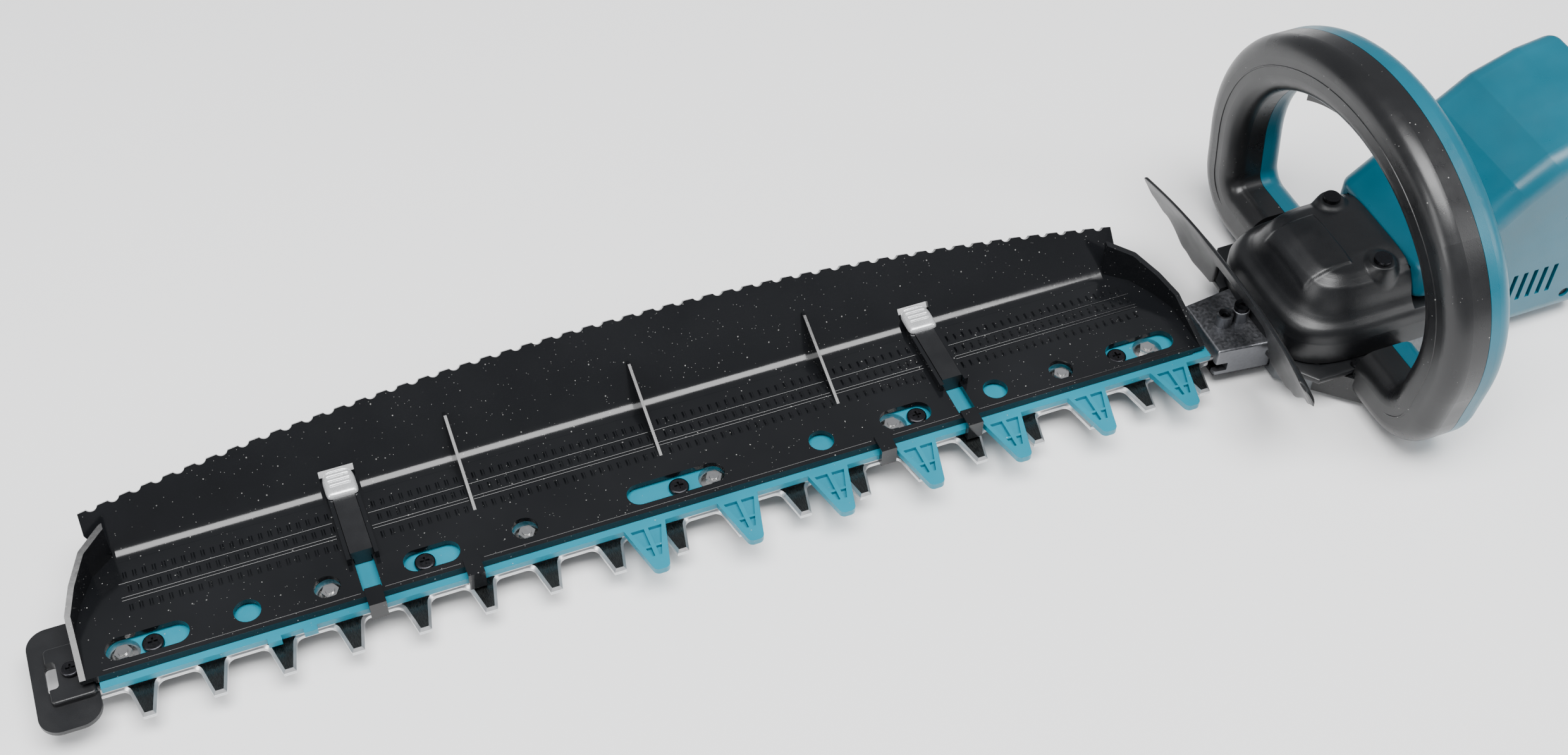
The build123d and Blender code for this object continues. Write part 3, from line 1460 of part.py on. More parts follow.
spring_x = 188.0
spring_base_z = 124.0
spring_top_z = 144.4
with BuildPart() as trigger_spring:
    with BuildLine() as coil:
        Helix(3.2, spring_top_z - spring_base_z - 1.4, 3.4, center=(spring_x, 0, spring_base_z + 0.7))
    with BuildSketch(Plane(origin=coil.line @ 0, z_dir=coil.line % 0)):
        Circle(0.5)
    sweep()
trigger_spring.part.label = "trigger_spring"
export_step(trigger_spring.part, "parts/trigger_spring.step")

with BuildPart() as lock_off_button:
    with Locations((lock_x, 0, 138)):
        Box(
            2 * lock_half_long,
            2 * lock_half,
            12.5,
            align=(Align.CENTER, Align.CENTER, Align.MIN),
        )
    fillet(top_edges(lock_off_button), radius=2)
    with Locations((lock_x, 0, 137)):
        Box(2 * lock_half_long + 6, 2 * lock_half + 4, 2.2)
lock_off_button.part.label = "lock_off_button"
export_step(lock_off_button.part, "parts/lock_off_button.step")

with BuildPart() as main_switch:
    with Locations((235, 0, opening_back_z + 13)):
        Box(26, 18, 16, align=(Align.CENTER, Align.CENTER, Align.MIN))
    with Locations((220.5, 0, opening_back_z + 19)):
        Box(4, 6, 4)
main_switch.part.label = "main_switch"
export_step(main_switch.part, "parts/main_switch.step")

with BuildPart() as controller_box:
    with Locations((107, 0, 62)):
        Box(62, 60, 24, align=(Align.CENTER, Align.CENTER, Align.MIN))
    for i in range(6):
        with Locations((86 + 8.4 * i, 0, 86)):
            Box(4, 52, 8, align=(Align.CENTER, Align.CENTER, Align.MIN))
controller_box.part.label = "controller_box"
export_step(controller_box.part, "parts/controller_box.step")

with BuildPart() as terminal_block:
    with Locations((shell_back_x - 16, 0, terminal_base_z)):
        Box(25, 2 * terminal_half, terminal_high, align=(Align.MIN, Align.CENTER, Align.MIN))
terminal_block.part.label = "terminal_block"
export_step(terminal_block.part, "parts/terminal_block.step")

# ---------------------------------------------------------------- battery

battery_x = shell_back_x + 1
battery_wall = 2.5
battery_top_z = battery_base_z + battery_high
button_z = battery_top_z - 15
with BuildPart() as battery_case:
    with Locations((battery_x, 0, battery_base_z)):
        Box(
            battery_long,
            2 * battery_half,
            battery_high,
            align=(Align.MIN, Align.CENTER, Align.MIN),
        )
    fillet(battery_case.edges().filter_by(Axis.Z).group_by(Axis.X)[-1], radius=9)
    fillet(battery_case.faces().sort_by(Axis.X)[-1].edges().filter_by(Axis.Y), radius=5)
    with Locations((battery_x + battery_wall, 0, battery_base_z + battery_wall)):
        Box(
            battery_long - 2 * battery_wall,
            2 * (battery_half - battery_wall),
            battery_high - 2 * battery_wall,
            align=(Align.MIN, Align.CENTER, Align.MIN),
            mode=Mode.SUBTRACT,
        )
    with Locations((battery_x, 0, battery_base_z)):
        Box(12, 2 * terminal_half + 6, 43, align=(Align.MIN, Align.CENTER, Align.MIN))
    with Locations((battery_x - 1, 0, battery_base_z - 1)):
        Box(
            11,
            2 * terminal_half + 2,
            42,
            align=(Align.MIN, Align.CENTER, Align.MIN),
            mode=Mode.SUBTRACT,
        )
    for x, y in rail_spots:
        with Locations((x, y, battery_base_z + 9)):
            Box(3.6, 16.2, 98, align=(Align.CENTER, Align.CENTER, Align.MIN))
        with Locations((x, y, battery_base_z + 9)):
            Box(battery_x + 0.5 - x, 9.2, 98, align=(Align.MIN, Align.CENTER, Align.MIN))
    with Locations((battery_x + battery_long, 0, button_z)):
        Box(10, 28.8, 12.8, mode=Mode.SUBTRACT)
battery_case.part.label = "battery_case"
export_step(battery_case.part, "parts/battery_case.step")

cell_radius = 9.0
cell_pitch = 18.8
cell_front_x = battery_x + 22.5
cell_base_z = battery_base_z + 12
cell_spots = [
    (cell_front_x + cell_pitch * row, cell_base_z + cell_pitch * i) for row in range(2) for i in range(5)
]
with BuildPart() as battery_cells:
    with Locations(*screw_axes(cell_spots)):
        Cylinder(cell_radius, 65)
battery_cells.part.label = "battery_cells"
export_step(battery_cells.part, "parts/battery_cells.step")

with BuildPart() as battery_release_button:
    with Locations((battery_x + battery_long - 6, 0, button_z)):
        Box(9, 28, 12, align=(Align.MIN, Align.CENTER, Align.CENTER))
    fillet(battery_release_button.faces().sort_by(Axis.X)[-1].edges(), radius=1.5)
    with Locations((battery_x + battery_long - 6, 0, button_z)):
        Box(2, 33, 17, align=(Align.MIN, Align.CENTER, Align.CENTER))
battery_release_button.part.label = "battery_release_button"
export_step(battery_release_button.part, "parts/battery_release_button.step")
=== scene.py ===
"""Looks of a cordless hedge trimmer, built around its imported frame.

The file is laid out as a Blender add-on and is run as a script. Lengths are in metres.
"""

import json
import math

import bmesh
import bpy
import numpy as np
from mathutils import Matrix, Vector


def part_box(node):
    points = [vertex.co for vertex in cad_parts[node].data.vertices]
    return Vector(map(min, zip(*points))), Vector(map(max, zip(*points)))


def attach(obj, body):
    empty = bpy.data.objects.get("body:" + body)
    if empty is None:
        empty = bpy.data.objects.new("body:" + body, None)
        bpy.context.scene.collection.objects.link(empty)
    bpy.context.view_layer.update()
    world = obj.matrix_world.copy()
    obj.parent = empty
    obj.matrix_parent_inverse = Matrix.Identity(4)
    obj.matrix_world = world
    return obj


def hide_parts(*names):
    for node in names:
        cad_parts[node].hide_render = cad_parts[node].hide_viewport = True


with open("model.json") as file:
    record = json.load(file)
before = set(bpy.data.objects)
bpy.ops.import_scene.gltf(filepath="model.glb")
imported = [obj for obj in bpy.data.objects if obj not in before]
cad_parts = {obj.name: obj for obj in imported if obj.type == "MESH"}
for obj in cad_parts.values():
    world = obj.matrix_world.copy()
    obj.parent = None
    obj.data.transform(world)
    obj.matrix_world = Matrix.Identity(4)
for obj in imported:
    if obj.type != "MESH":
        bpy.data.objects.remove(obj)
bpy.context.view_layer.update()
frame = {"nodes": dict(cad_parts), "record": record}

bl_info = {
    "name": "Hedge Trimmer Looks",
    "version": (1, 0, 0),
    "blender": (4, 5, 0),
    "location": "3D View > Sidebar > Trimmer",
    "description": "Finishes and detail pieces of a cordless hedge trimmer",
    "category": "Object",
}

TRAY_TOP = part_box("tray_edge_hooks")[1].z - 0.0013
LATCH_XS = (-0.5695, -0.2335)
FIN_XS = (-0.5067, -0.4025, -0.2983)
HOOK_XS = (-0.5695, -0.5175, -0.2855, -0.2335)
FOLD_Y = 0.059
FOLD_RADIUS = 0.012
TREAD_LINES = (0.0284, 0.0304, 0.0394)
TREAD_ROWS = ((0.0228, 0.0), (0.0347, 0.0012), (0.0442, 0.0))
TREAD_START, TREAD_END = -0.690, -0.107
RIM_LINE_Y = -0.0104
COVER_SCREW = (0.012, 0.027)
COVER_BACK_X = 0.0277


# ---------------------------------------------------------------- sizes and colours


def length(name, description, default):
    """One length setting in metres."""
    return bpy.props.FloatProperty(
        name=name, description=description, default=default, min=0.0, unit="LENGTH", precision=4
    )


def tint(name, description, default):
    """One colour setting."""
    return bpy.props.FloatVectorProperty(
        name=name, description=description, default=default, min=0.0, max=1.0, size=3, subtype="COLOR"
    )


class TrimmerSizes(bpy.types.PropertyGroup):
    """Sizes of the pieces that are added to the frame"""

    tick_high: length("Tick height", "How far the tray's small ticks stand up", 0.0012)
    tick_pitch: length("Tick pitch", "Distance from one tick to the next", 0.005)
    line_wide: length("Line width", "Width of the raised lines on the tray", 0.0012)
    cap_high: length("Latch cap height", "Thickness of a latch's thumb cap", 0.003)
    guard_thick: length("Guard thickness", "Thickness of the hand guard's ribbon", 0.0042)
    panel_high: length("Panel height", "How far the gear cover's middle panel stands up", 0.0011)
    seam_high: length("Seam height", "How far the front grip's moulding seam stands up", 0.0005)


class TrimmerColours(bpy.types.PropertyGroup):
    """Colours of the finishes"""

    guard_teal: tint("Guard teal", "Colour of the comb guard", (0.001, 0.19, 0.27))
    housing_teal: tint("Housing teal", "Colour of the housing and loop shell", (0.001, 0.10, 0.15))
    tray_black: tint("Tray black", "Colour of the glossy chip tray", (0.0045, 0.005, 0.006))
    grip_black: tint("Grip black", "Colour of the soft front grip", (0.007, 0.0072, 0.008))
    cover_black: tint("Cover black", "Colour of the gear cover and hand guard", (0.006, 0.0064, 0.0075))
    tooth_steel: tint("Tooth steel", "Colour of the blades' hardened faces", (0.10, 0.11, 0.11))
    cap_silver: tint("Cap silver", "Colour of the latches' thumb caps", (0.78, 0.79, 0.80))


# ---------------------------------------------------------------- materials


class Recipe:
    """One node material: adds nodes and keeps the links short to write."""

    def __init__(self, name):
        self.material = bpy.data.materials.new(name)
        self.material.use_nodes = True
        self.tree = self.material.node_tree
        self.shader = self.tree.nodes["Principled BSDF"]
        self.place = self.node("ShaderNodeTexCoord").outputs["Object"]

    def node(self, kind, **settings):
        """A new node with its settings."""
        made = self.tree.nodes.new(kind)
        for key, value in settings.items():
            setattr(made, key, value)
        return made

    def link(self, source, target):
        """Joins two sockets."""
        self.tree.links.new(source, target)

    def put(self, socket, value):
        """Sets a socket to a number, or links another socket to it."""
        if isinstance(value, (int, float, tuple)):
            socket.default_value = value
        else:
            self.link(value, socket)

    def math(self, operation, first, second=0.0, third=0.0):
        """One maths node."""
        made = self.node("ShaderNodeMath", operation=operation)
        for socket, value in zip(made.inputs, (first, second, third)):
            self.put(socket, value)
        return made.outputs[0]

    def noise(self, scale, detail=4.0, roughness=0.55, stretch=(1, 1, 1)):
        """Noise between 0 and 1 on object coordinates."""
        made = self.node("ShaderNodeTexNoise")
        made.inputs["Scale"].default_value = scale
        made.inputs["Detail"].default_value = detail
        made.inputs["Roughness"].default_value = roughness
        if stretch == (1, 1, 1):
            self.link(self.place, made.inputs["Vector"])
        else:
            mapping = self.node("ShaderNodeMapping")
            mapping.inputs["Scale"].default_value = stretch
            self.link(self.place, mapping.inputs["Vector"])
            self.link(mapping.outputs[0], made.inputs["Vector"])
        return made.outputs["Fac"]

    def span(self, value, low, high, new_low, new_high, smooth=False):
        """Carries a value from one range to another, clamped."""
        made = self.node("ShaderNodeMapRange")
        made.interpolation_type = "SMOOTHSTEP" if smooth else "LINEAR"
        for socket, number in zip(made.inputs[:5], (value, low, high, new_low, new_high)):
            self.put(socket, number)
        return made.outputs[0]

    def mix(self, factor, first, second):
        """Mixes two colours."""
        made = self.node("ShaderNodeMix", data_type="RGBA")
        self.put(made.inputs[0], factor)
        for socket, colour in zip((made.inputs[6], made.inputs[7]), (first, second)):
            self.put(socket, colour + (1.0,) if isinstance(colour, tuple) else colour)
        return made.outputs[2]

    def bump(self, height, distance, strength=1.0, under=None):
        """A bump from a height between 0 and 1, as deep as a distance in metres."""
        made = self.node("ShaderNodeBump")
        made.inputs["Strength"].default_value = strength
        made.inputs["Distance"].default_value = distance
        self.link(height, made.inputs["Height"])
        if under is not None:
            self.link(under, made.inputs["Normal"])
        return made.outputs[0]

    def axis(self, letter):
        """One coordinate of the object's own place."""
        if not hasattr(self, "split"):
            self.split = self.node("ShaderNodeSeparateXYZ")
            self.link(self.place, self.split.inputs[0])
        return self.split.outputs[letter]

    def speck(self, scale, size, share):
        """Small round specks: 1 in a speck and 0 outside, in a share of the cells."""
        cells = self.node("ShaderNodeTexVoronoi")
        cells.inputs["Scale"].default_value = scale
        self.link(self.place, cells.inputs["Vector"])
        near = self.math("LESS_THAN", cells.outputs["Distance"], size)
        colour = self.node("ShaderNodeSeparateColor")
        self.link(cells.outputs["Color"], colour.inputs[0])
        return self.math("MULTIPLY", near, self.math("LESS_THAN", colour.outputs[0], share))

    def finish(self, colour, rough, normal=None, **constants):
        """Joins colour, roughness and normal to the shader, and sets its constants."""
        self.put(self.shader.inputs["Base Color"], colour + (1.0,) if isinstance(colour, tuple) else colour)
        self.put(self.shader.inputs["Roughness"], rough)
        if normal is not None:
            self.link(normal, self.shader.inputs["Normal"])
        for key, value in constants.items():
            self.shader.inputs[key.replace("_", " ")].default_value = value
        return self.material


def moulded(name, colour, rough=0.45, grain=2600, depth=0.00006, dust=0.0, **constants):
    """Moulded plastic: fine spark texture, slow colour drift and dust specks."""
    mat = Recipe(name)
    drift = mat.noise(14, 3)
    dark = tuple(c * 0.82 for c in colour)
    light = tuple(min(1, c * 1.12 + 0.002) for c in colour)
    tone = mat.mix(mat.span(drift, 0.3, 0.7, 0, 1), dark, light)
    rub = mat.span(mat.noise(60, 5), 0.3, 0.7, rough * 0.85, min(1, rough * 1.2))
    if dust:
        specks = mat.math("MAXIMUM", mat.speck(420, 0.16, dust), mat.speck(1100, 0.2, dust * 0.8))
        tone = mat.mix(mat.math("MULTIPLY", specks, 0.5), tone, (0.42, 0.42, 0.40))
    skin = mat.bump(mat.noise(grain, 2), depth)
    return mat.finish(tone, rub, skin, **constants)


def metal(name, colour, rough, grain=(1, 1, 1), scale=900, depth=0.00003, drift_scale=22, **constants):
    """Bare or coated metal: stretched grain lines, stains and slightly uneven shine."""
    mat = Recipe(name)
    drift = mat.noise(drift_scale, 5)
    dark = tuple(c * 0.72 for c in colour)
    tone = mat.mix(mat.span(drift, 0.35, 0.7, 0, 1), dark, colour)
    lines = mat.noise(scale, 3, 0.6, grain)
    rub = mat.span(lines, 0.3, 0.7, rough * 0.75, min(1, rough * 1.3))
    return mat.finish(tone, rub, mat.bump(lines, depth), Metallic=constants.pop("Metallic", 1.0), **constants)


def blade_steel(name, colour):
    """Blade steel: dull hardened faces, and bright ground bevels where the surface slopes.

    The slope is one minus the height part of the surface's own normal. A face lies flat, so its slope
    is near 0, and a ground bevel or a tooth's flank slopes and is bright.
    """
    mat = Recipe(name)
    facing = mat.node("ShaderNodeSeparateXYZ")
    mat.link(mat.node("ShaderNodeTexCoord").outputs["Normal"], facing.inputs[0])
    flat = mat.math("ABSOLUTE", facing.outputs["Z"])
    bright = mat.span(flat, 0.85, 0.98, 1, 0)
    lines = mat.noise(700, 3, 0.6, (6, 0.4, 1))
    dark = tuple(c * 0.35 for c in colour)
    dull = mat.mix(mat.noise(40, 4), dark, colour)
    tone = mat.mix(bright, dull, (0.66, 0.67, 0.68))
    rub = mat.math("ADD", mat.span(lines, 0.3, 0.7, 0.2, 0.36), mat.math("MULTIPLY", bright, 0.08))
    return mat.finish(tone, rub, mat.bump(lines, 0.00003), Metallic=1.0)


FINISHES = {
    "metal": {
        "blade_steel": lambda c: blade_steel("ground_blade_steel", tuple(c.tooth_steel)),
        "guide_steel": lambda c: metal("cold_rolled_steel", (0.60, 0.61, 0.62), 0.32, (0.6, 8, 1)),
        "zinc_steel": lambda c: metal("zinc_plated_steel", (0.85, 0.85, 0.84), 0.2),
        "black_steel": lambda c: metal("black_oxide_steel", (0.045, 0.045, 0.05), 0.34),
        "ground_steel": lambda c: metal("ground_steel", (0.7, 0.7, 0.71), 0.18),
        "gear_steel": lambda c: metal("oiled_gear_steel", (0.42, 0.42, 0.42), 0.26),
        "motor_iron": lambda c: metal("laminated_iron", (0.2, 0.2, 0.21), 0.45, (1, 1, 12)),
        "spring_steel": lambda c: metal("spring_wire", (0.6, 0.6, 0.6), 0.25),
    },
    "casting": {
        "cast_case": lambda c: metal("die_cast_case", (0.20, 0.21, 0.22), 0.5, scale=400, depth=0.0001),
        "cast_alloy": lambda c: metal("machined_alloy", (0.62, 0.63, 0.64), 0.35),
        "dark_cast": lambda c: metal("dark_coated_casting", (0.21, 0.215, 0.23), 0.42, scale=500, depth=0.00008),
        "dark_sheet": lambda c: metal("dark_sheet_steel", (0.06, 0.06, 0.065), 0.3),
        "heatsink": lambda c: metal("extruded_heatsink", (0.55, 0.56, 0.57), 0.4),
    },
    "plastic": {
        "teal_light": lambda c: moulded("teal_guard_plastic", tuple(c.guard_teal), 0.34, dust=0.03),
        "teal_dark": lambda c: moulded("teal_housing_plastic", tuple(c.housing_teal), 0.32),
        "gloss_black": lambda c: moulded("glossy_tray_plastic", tuple(c.tray_black), 0.14, 300, 0.00002, 0.05),
        "black_plastic": lambda c: moulded("black_moulded_plastic", tuple(c.cover_black), 0.36),
        "silver_plastic": lambda c: metal("silver_coated_plastic", tuple(c.cap_silver), 0.3, Metallic=0.6),
        "black_rubber": lambda c: moulded("ribbed_rubber", (0.01, 0.01, 0.01), 0.7),
        "soft_black": lambda c: moulded("soft_grip_elastomer", tuple(c.grip_black), 0.3, 1500, 0.00003, 0.012),
        "cell_sleeve": lambda c: moulded("cell_sleeve", (0.02, 0.12, 0.3), 0.35),
    },
}
MADE = {}


def material_for(slot_name):
    """The finish of a material slot, made once."""
    if slot_name not in MADE:
        colours = bpy.context.scene.trimmer_colours
        group = next(rows for rows in FINISHES.values() if slot_name in rows)
        MADE[slot_name] = group[slot_name](colours)
    return MADE[slot_name]


def dress_group(group):
    """Gives every node whose slot is in a group its finish."""
    for part in frame["record"]["subparts"]:
        if part["material_slot"] in FINISHES[group]:
            thing = frame["nodes"][part["node"]]
            thing.data.materials.clear()
            thing.data.materials.append(material_for(part["material_slot"]))


# ---------------------------------------------------------------- surfaces


def join_rings(rings):
    """Points and faces of one closed skin.

    rings has the shape (steps, points round, 3). A point is joined to the next one round and to the
    same one on the next ring, and the two end rings are closed by one face each.
    """
    steps, around = rings.shape[:2]
    index = np.arange(steps * around).reshape(steps, around)
    turn = np.roll(index, -1, axis=1)
    quads = np.stack([index[:-1], turn[:-1], turn[1:], index[1:]], -1).reshape(-1, 4)
    faces = quads.tolist() + [index[0, ::-1].tolist(), index[-1].tolist()]
    return rings.reshape(-1, 3), faces


def combine(skins):
    """Several skins, as points and faces, in one."""
    points, faces, start = [], [], 0
    for some, more in skins:
        points.append(some)
        faces += [[i + start for i in face] for face in more]
        start += len(some)
    return np.concatenate(points), faces


def piece(name, skin, body, slot_name, sharp=0.6):
    """An object from points and faces, with its finish, riding on a body."""
    points, faces = skin
    mesh = bpy.data.meshes.new(name)
    mesh.from_pydata(points.tolist(), [], faces)
    work = bmesh.new()
    work.from_mesh(mesh)
    bmesh.ops.remove_doubles(work, verts=work.verts, dist=1e-7)
    bmesh.ops.recalc_face_normals(work, faces=work.faces)
    work.to_mesh(mesh)
    work.free()
    mesh.polygons.foreach_set("use_smooth", np.ones(len(mesh.polygons), bool))
    mesh.set_sharp_from_angle(angle=sharp)
    mesh.materials.append(material_for(slot_name))
    made = bpy.data.objects.new(name, mesh)
    bpy.context.scene.collection.objects.link(made)
    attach(made, body)
    return made


def smooth_step(low, high, value):
    """0 below low, 1 above high, and an even S between them."""
    part = np.clip((value - low) / (high - low), 0, 1)
    return part * part * (3 - 2 * part)


def eased(value, knots, heights):
    """Heights at knots, joined by even S curves."""
    knots, heights = np.array(knots), np.array(heights)
    cell = np.clip(np.searchsorted(knots, value) - 1, 0, len(knots) - 2)
    part = smooth_step(0, 1, (value - knots[cell]) / (knots[cell + 1] - knots[cell]))
    return heights[cell] + (heights[cell + 1] - heights[cell]) * part


def low_ridge(start, end, wide, high):
    """A low rounded line from one point to another: a half circle, flattened to its height, is
    carried along a straight path and drawn in at both ends."""
    turn = np.linspace(0, math.pi, 7)
    start, end = np.array(start), np.array(end)
    path = start + (end - start) * np.array([0, 0.0015, 0.9985, 1])[:, None]
    ahead = (end - start) / np.linalg.norm(end - start)
    aside = np.cross((0, 0, 1), ahead)
    size = np.array([0.3, 1, 1, 0.3])[:, None, None]
    across = np.cos(turn)[None, :, None] * aside * wide / 2 * size
    up = np.sin(turn)[None, :, None] * np.array((0, 0, 1)) * high * size
    return join_rings(path[:, None, :] + across + up)


def without(low, high, blocks):
    """The stretches from low to high that are left when the blocks, as (middle, half), are cut out."""
    ends = sorted((m - h, m + h) for m, h in blocks)
    edges = [low] + [x for pair in ends for x in pair] + [high]
    return [(a, b) for a, b in zip(edges[::2], edges[1::2]) if b - a > 0.002]


def tick_field(centres, wide, long, high):
    """Small raised ticks: one eight-pointed block with a narrower top, repeated at every centre."""
    foot = np.array([(-1, -1), (1, -1), (1, 1), (-1, 1)]) * (wide / 2, long / 2)
    base = np.c_[foot, np.zeros(4) - 0.0003]
    crown = np.c_[foot * (0.25, 0.6), np.full(4, high)]
    block = np.concatenate([base, crown])
    sides = [(0, 3, 2, 1), (4, 5, 6, 7), (0, 1, 5, 4), (1, 2, 6, 5), (2, 3, 7, 6), (3, 0, 4, 7)]
    points = (centres[:, None, :] + block[None]).reshape(-1, 3)
    faces = (np.array(sides)[None] + 8 * np.arange(len(centres))[:, None, None]).reshape(-1, 4)
    return points, faces.tolist()


def fold_fillet(start, end, lean=50.0):
    """The rounded inner corner where the tray's floor turns up into its back wall. Across it runs a
    quarter-like arc that touches the floor and the leaning wall, closed behind by the corner
    itself, and it is carried along a straight path in X."""
    turn = math.radians(lean)
    reach = FOLD_RADIUS * math.tan(turn / 2)
    angle = np.linspace(0, turn, 12)
    y = FOLD_Y - reach + FOLD_RADIUS * np.sin(angle)
    z = TRAY_TOP + FOLD_RADIUS * (1 - np.cos(angle)) + 0.00005
    y, z = np.append(y, FOLD_Y + 0.0004), np.append(z, TRAY_TOP - 0.0004)
    across = np.stack([0 * y, y, z], -1)
    return join_rings(across[None] + np.array([[[start, 0, 0]], [[end, 0, 0]]]))


def thumb_cap(middle_x, low_y, base_z, high):
    """A latch's thumb cap. Around it runs a rounded box of half width 8.6 mm and half length 9.7 mm,
    rounder at the far end. From its middle to its rim the top falls as the root of one minus
    the eighth power of the distance, less three narrow grooves across it."""
    turn = np.linspace(0, 2 * math.pi, 96, endpoint=False)
    power = np.where(np.sin(turn) > 0, 2.7, 7.0)
    reach = (np.abs(np.cos(turn) / 8.6) ** power + np.abs(np.sin(turn) / 9.7) ** power) ** (-1 / power)
    part = np.concatenate([np.linspace(0.001, 0.8, 40), np.linspace(0.82, 1, 12)])[:, None]
    x = part * reach * np.cos(turn) / 1000
    y = part * reach * np.sin(turn) / 1000
    top = high * np.sqrt(np.clip(1 - part**8, 0, 1)) + 0 * x
    inside = smooth_step(0.0062, 0.0054, np.abs(x))
    for groove in (-0.0030, 0.0002, 0.0034, 0.0066):
        top = top - 0.0009 * inside * np.exp(-(((y - groove) / 0.00048) ** 2))
    rings = np.stack([x + middle_x, y + low_y + 0.0097, np.maximum(top, 0) + base_z], -1)
    under = rings[-1:].copy()
    under[..., 2] = base_z
    return join_rings(np.concatenate([rings, under]))


def cover_height(x, y, panel_high):
    """Relief of the gear cover: a raised middle panel and a round boss at each screw."""
    inside = smooth_step(-0.034, -0.0325, x) * smooth_step(-0.0035, -0.005, x)
    inside = inside * smooth_step(0.0215, 0.020, np.abs(y))
    away = np.hypot(x - COVER_SCREW[0], np.abs(y) - COVER_SCREW[1])
    boss = smooth_step(0.0110, 0.0065, away)
    return inside * panel_high, boss


def gear_dome(panel_high, wall=0.0024):
    """The gear cover. Around it runs a rounded box, and from its middle to its rim the height
    follows a line of eased knots: a flat crown, a shoulder, a ledge and a straight skirt. The back
    above the ledge is cut flat. The inner wall is the same line drawn in by the wall's thickness."""
    turn = np.linspace(0, 2 * math.pi, 288, endpoint=False)
    front = np.where(np.cos(turn) < 0, 57.4, 50.6)
    power = np.where(np.cos(turn) < 0, 3.6, 9.0)
    reach = (np.abs(np.cos(turn) / front) ** power + np.abs(np.sin(turn) / 50.5) ** power) ** (-1 / power)
    knots = [0, 0.30, 0.55, 0.68, 0.75, 0.80, 0.86, 0.93, 0.975, 1.0]
    heights = [76.0, 75.4, 73.0, 69.0, 62.5, 56.0, 52.0, 49.6, 46.0, 40.0]
    part = np.concatenate([np.linspace(0.002, 0.6, 70), np.linspace(0.606, 1, 66)])
    rise = np.interp(part, knots, heights)
    rise = np.convolve(np.pad(rise, 3, mode="edge"), np.ones(7) / 7, "valid")
    part, rise = np.append(part, 1.0)[:, None], np.append(rise, 27.0)[:, None]
    skins = []
    for inset in (0.0, wall):
        x = 0.008 + part * (reach / 1000 - inset) * np.cos(turn)
        y = part * (reach / 1000 - inset) * np.sin(turn)
        z = rise / 1000 - inset * (rise > 30) + 0 * x
        if not inset:
            panel, boss = cover_height(x, y, panel_high)
            z = z + panel
            z = z + (0.07605 - z) * boss
        x = np.where(z > 0.0496, np.minimum(x, COVER_BACK_X - inset), x)
        skins.append(np.stack([x, y, z], -1))
    return join_rings(np.concatenate([skins[0], skins[1][::-1]]))


def guard_ribbon(thick):
    """The hand guard's ribbon. Across its span run 120 rings, each a flat loop with round edges.
    Its lower edge stands high at the nose, comes down to the brim beside it and climbs to the
    tips, and its upper edge falls away at the tips. It leans forward as the power 1.9 of height."""
    across = np.sin(np.linspace(-1, 1, 121) * math.pi / 2) * 0.091
    side = np.abs(across)[:, None]
    knots = [0, 0.0265, 0.034, 0.052, 0.062, 0.080, 0.0911]
    low = eased(side, knots, [0.0465, 0.0465, 0.024, 0.024, 0.027, 0.042, 0.052])
    high = eased(side, [0, 0.060, 0.086, 0.0911], [0.070, 0.0715, 0.071, 0.066])
    turn = np.linspace(0, 2 * math.pi, 40, endpoint=False)[None]
    up = 0.5 - 0.5 * np.sign(np.cos(turn)) * np.abs(np.cos(turn)) ** 0.6
    z = low + (high - low) * up
    lean = 0.0165 * (np.clip(z - 0.024, 0, 1) / 0.046) ** 1.9
    x = -0.0524 - lean - 0.008 * (side / 0.091) ** 2.5
    half = thick / 2 * np.sign(np.sin(turn)) * np.abs(np.sin(turn)) ** 0.45
    slim = 1 - 0.25 * smooth_step(0.3, 1.0, up)
    x = x + half * slim * smooth_step(0.0925, 0.088, side)
    y = np.repeat(across[:, None], 40, axis=1)
    return join_rings(np.stack([x, y + 0 * z, z], -1))


def brim_side(sign):
    """One side of the guard's brim: a flat loop with round edges between an inner line along the
    case and an outer line 11 mm away, carried from the nose to the loop's foot."""
    steps = np.linspace(0, 1, 80)
    knots = [0, 0.14, 0.34, 1]
    inner_x = eased(steps, knots, [-45.6, -44.6, -29.4, 24])
    inner_y = eased(steps, knots, [26.4, 31.5, 46.6, 46.6])
    outer_x = eased(steps, knots, [-52.4, -51.5, -36.0, 24])
    outer_y = eased(steps, knots, [26.4, 38.5, 57.6, 57.8])
    inner, outer = np.stack([inner_x, inner_y], -1), np.stack([outer_x, outer_y], -1)
    turn = np.linspace(0, 2 * math.pi, 28, endpoint=False)
    out = 0.5 + 0.5 * np.sign(np.cos(turn)) * np.abs(np.cos(turn)) ** 0.5
    up = np.sign(np.sin(turn)) * np.abs(np.sin(turn)) ** 0.35
    flat = inner[:, None, :] + (outer - inner)[:, None, :] * out[None, :, None]
    z = np.repeat(24 + 2 * up[None], len(steps), axis=0)
    rings = np.stack([flat[..., 0], sign * flat[..., 1], z], -1) / 1000
    return join_rings(rings)


def loop_line(outset):
    """The front loop's line in the plane of Y and Z, a constant distance outside its middle line:
    a wide top arc, a shoulder arc, a straight side and a corner arc, and their mirror."""

    def arc(middle, radius, start, end, count):
        """Points on an arc between two angles in degrees."""
        angle = np.radians(np.linspace(start, end, count))
        return np.stack([middle[0] + radius * np.cos(angle), middle[1] + radius * np.sin(angle)], -1)

    half = np.concatenate(
        [
            arc((0, 45.5), 125 + outset, 90, 50, 40),
            arc((27.64, 78.44), 82 + outset, 50, -8, 48)[1:],
            arc((81.7, 46.5), 24 + outset, -8, -84, 24),
        ]
    )
    return np.concatenate([half[::-1] * (-1, 1), half[1:]]) / 1000


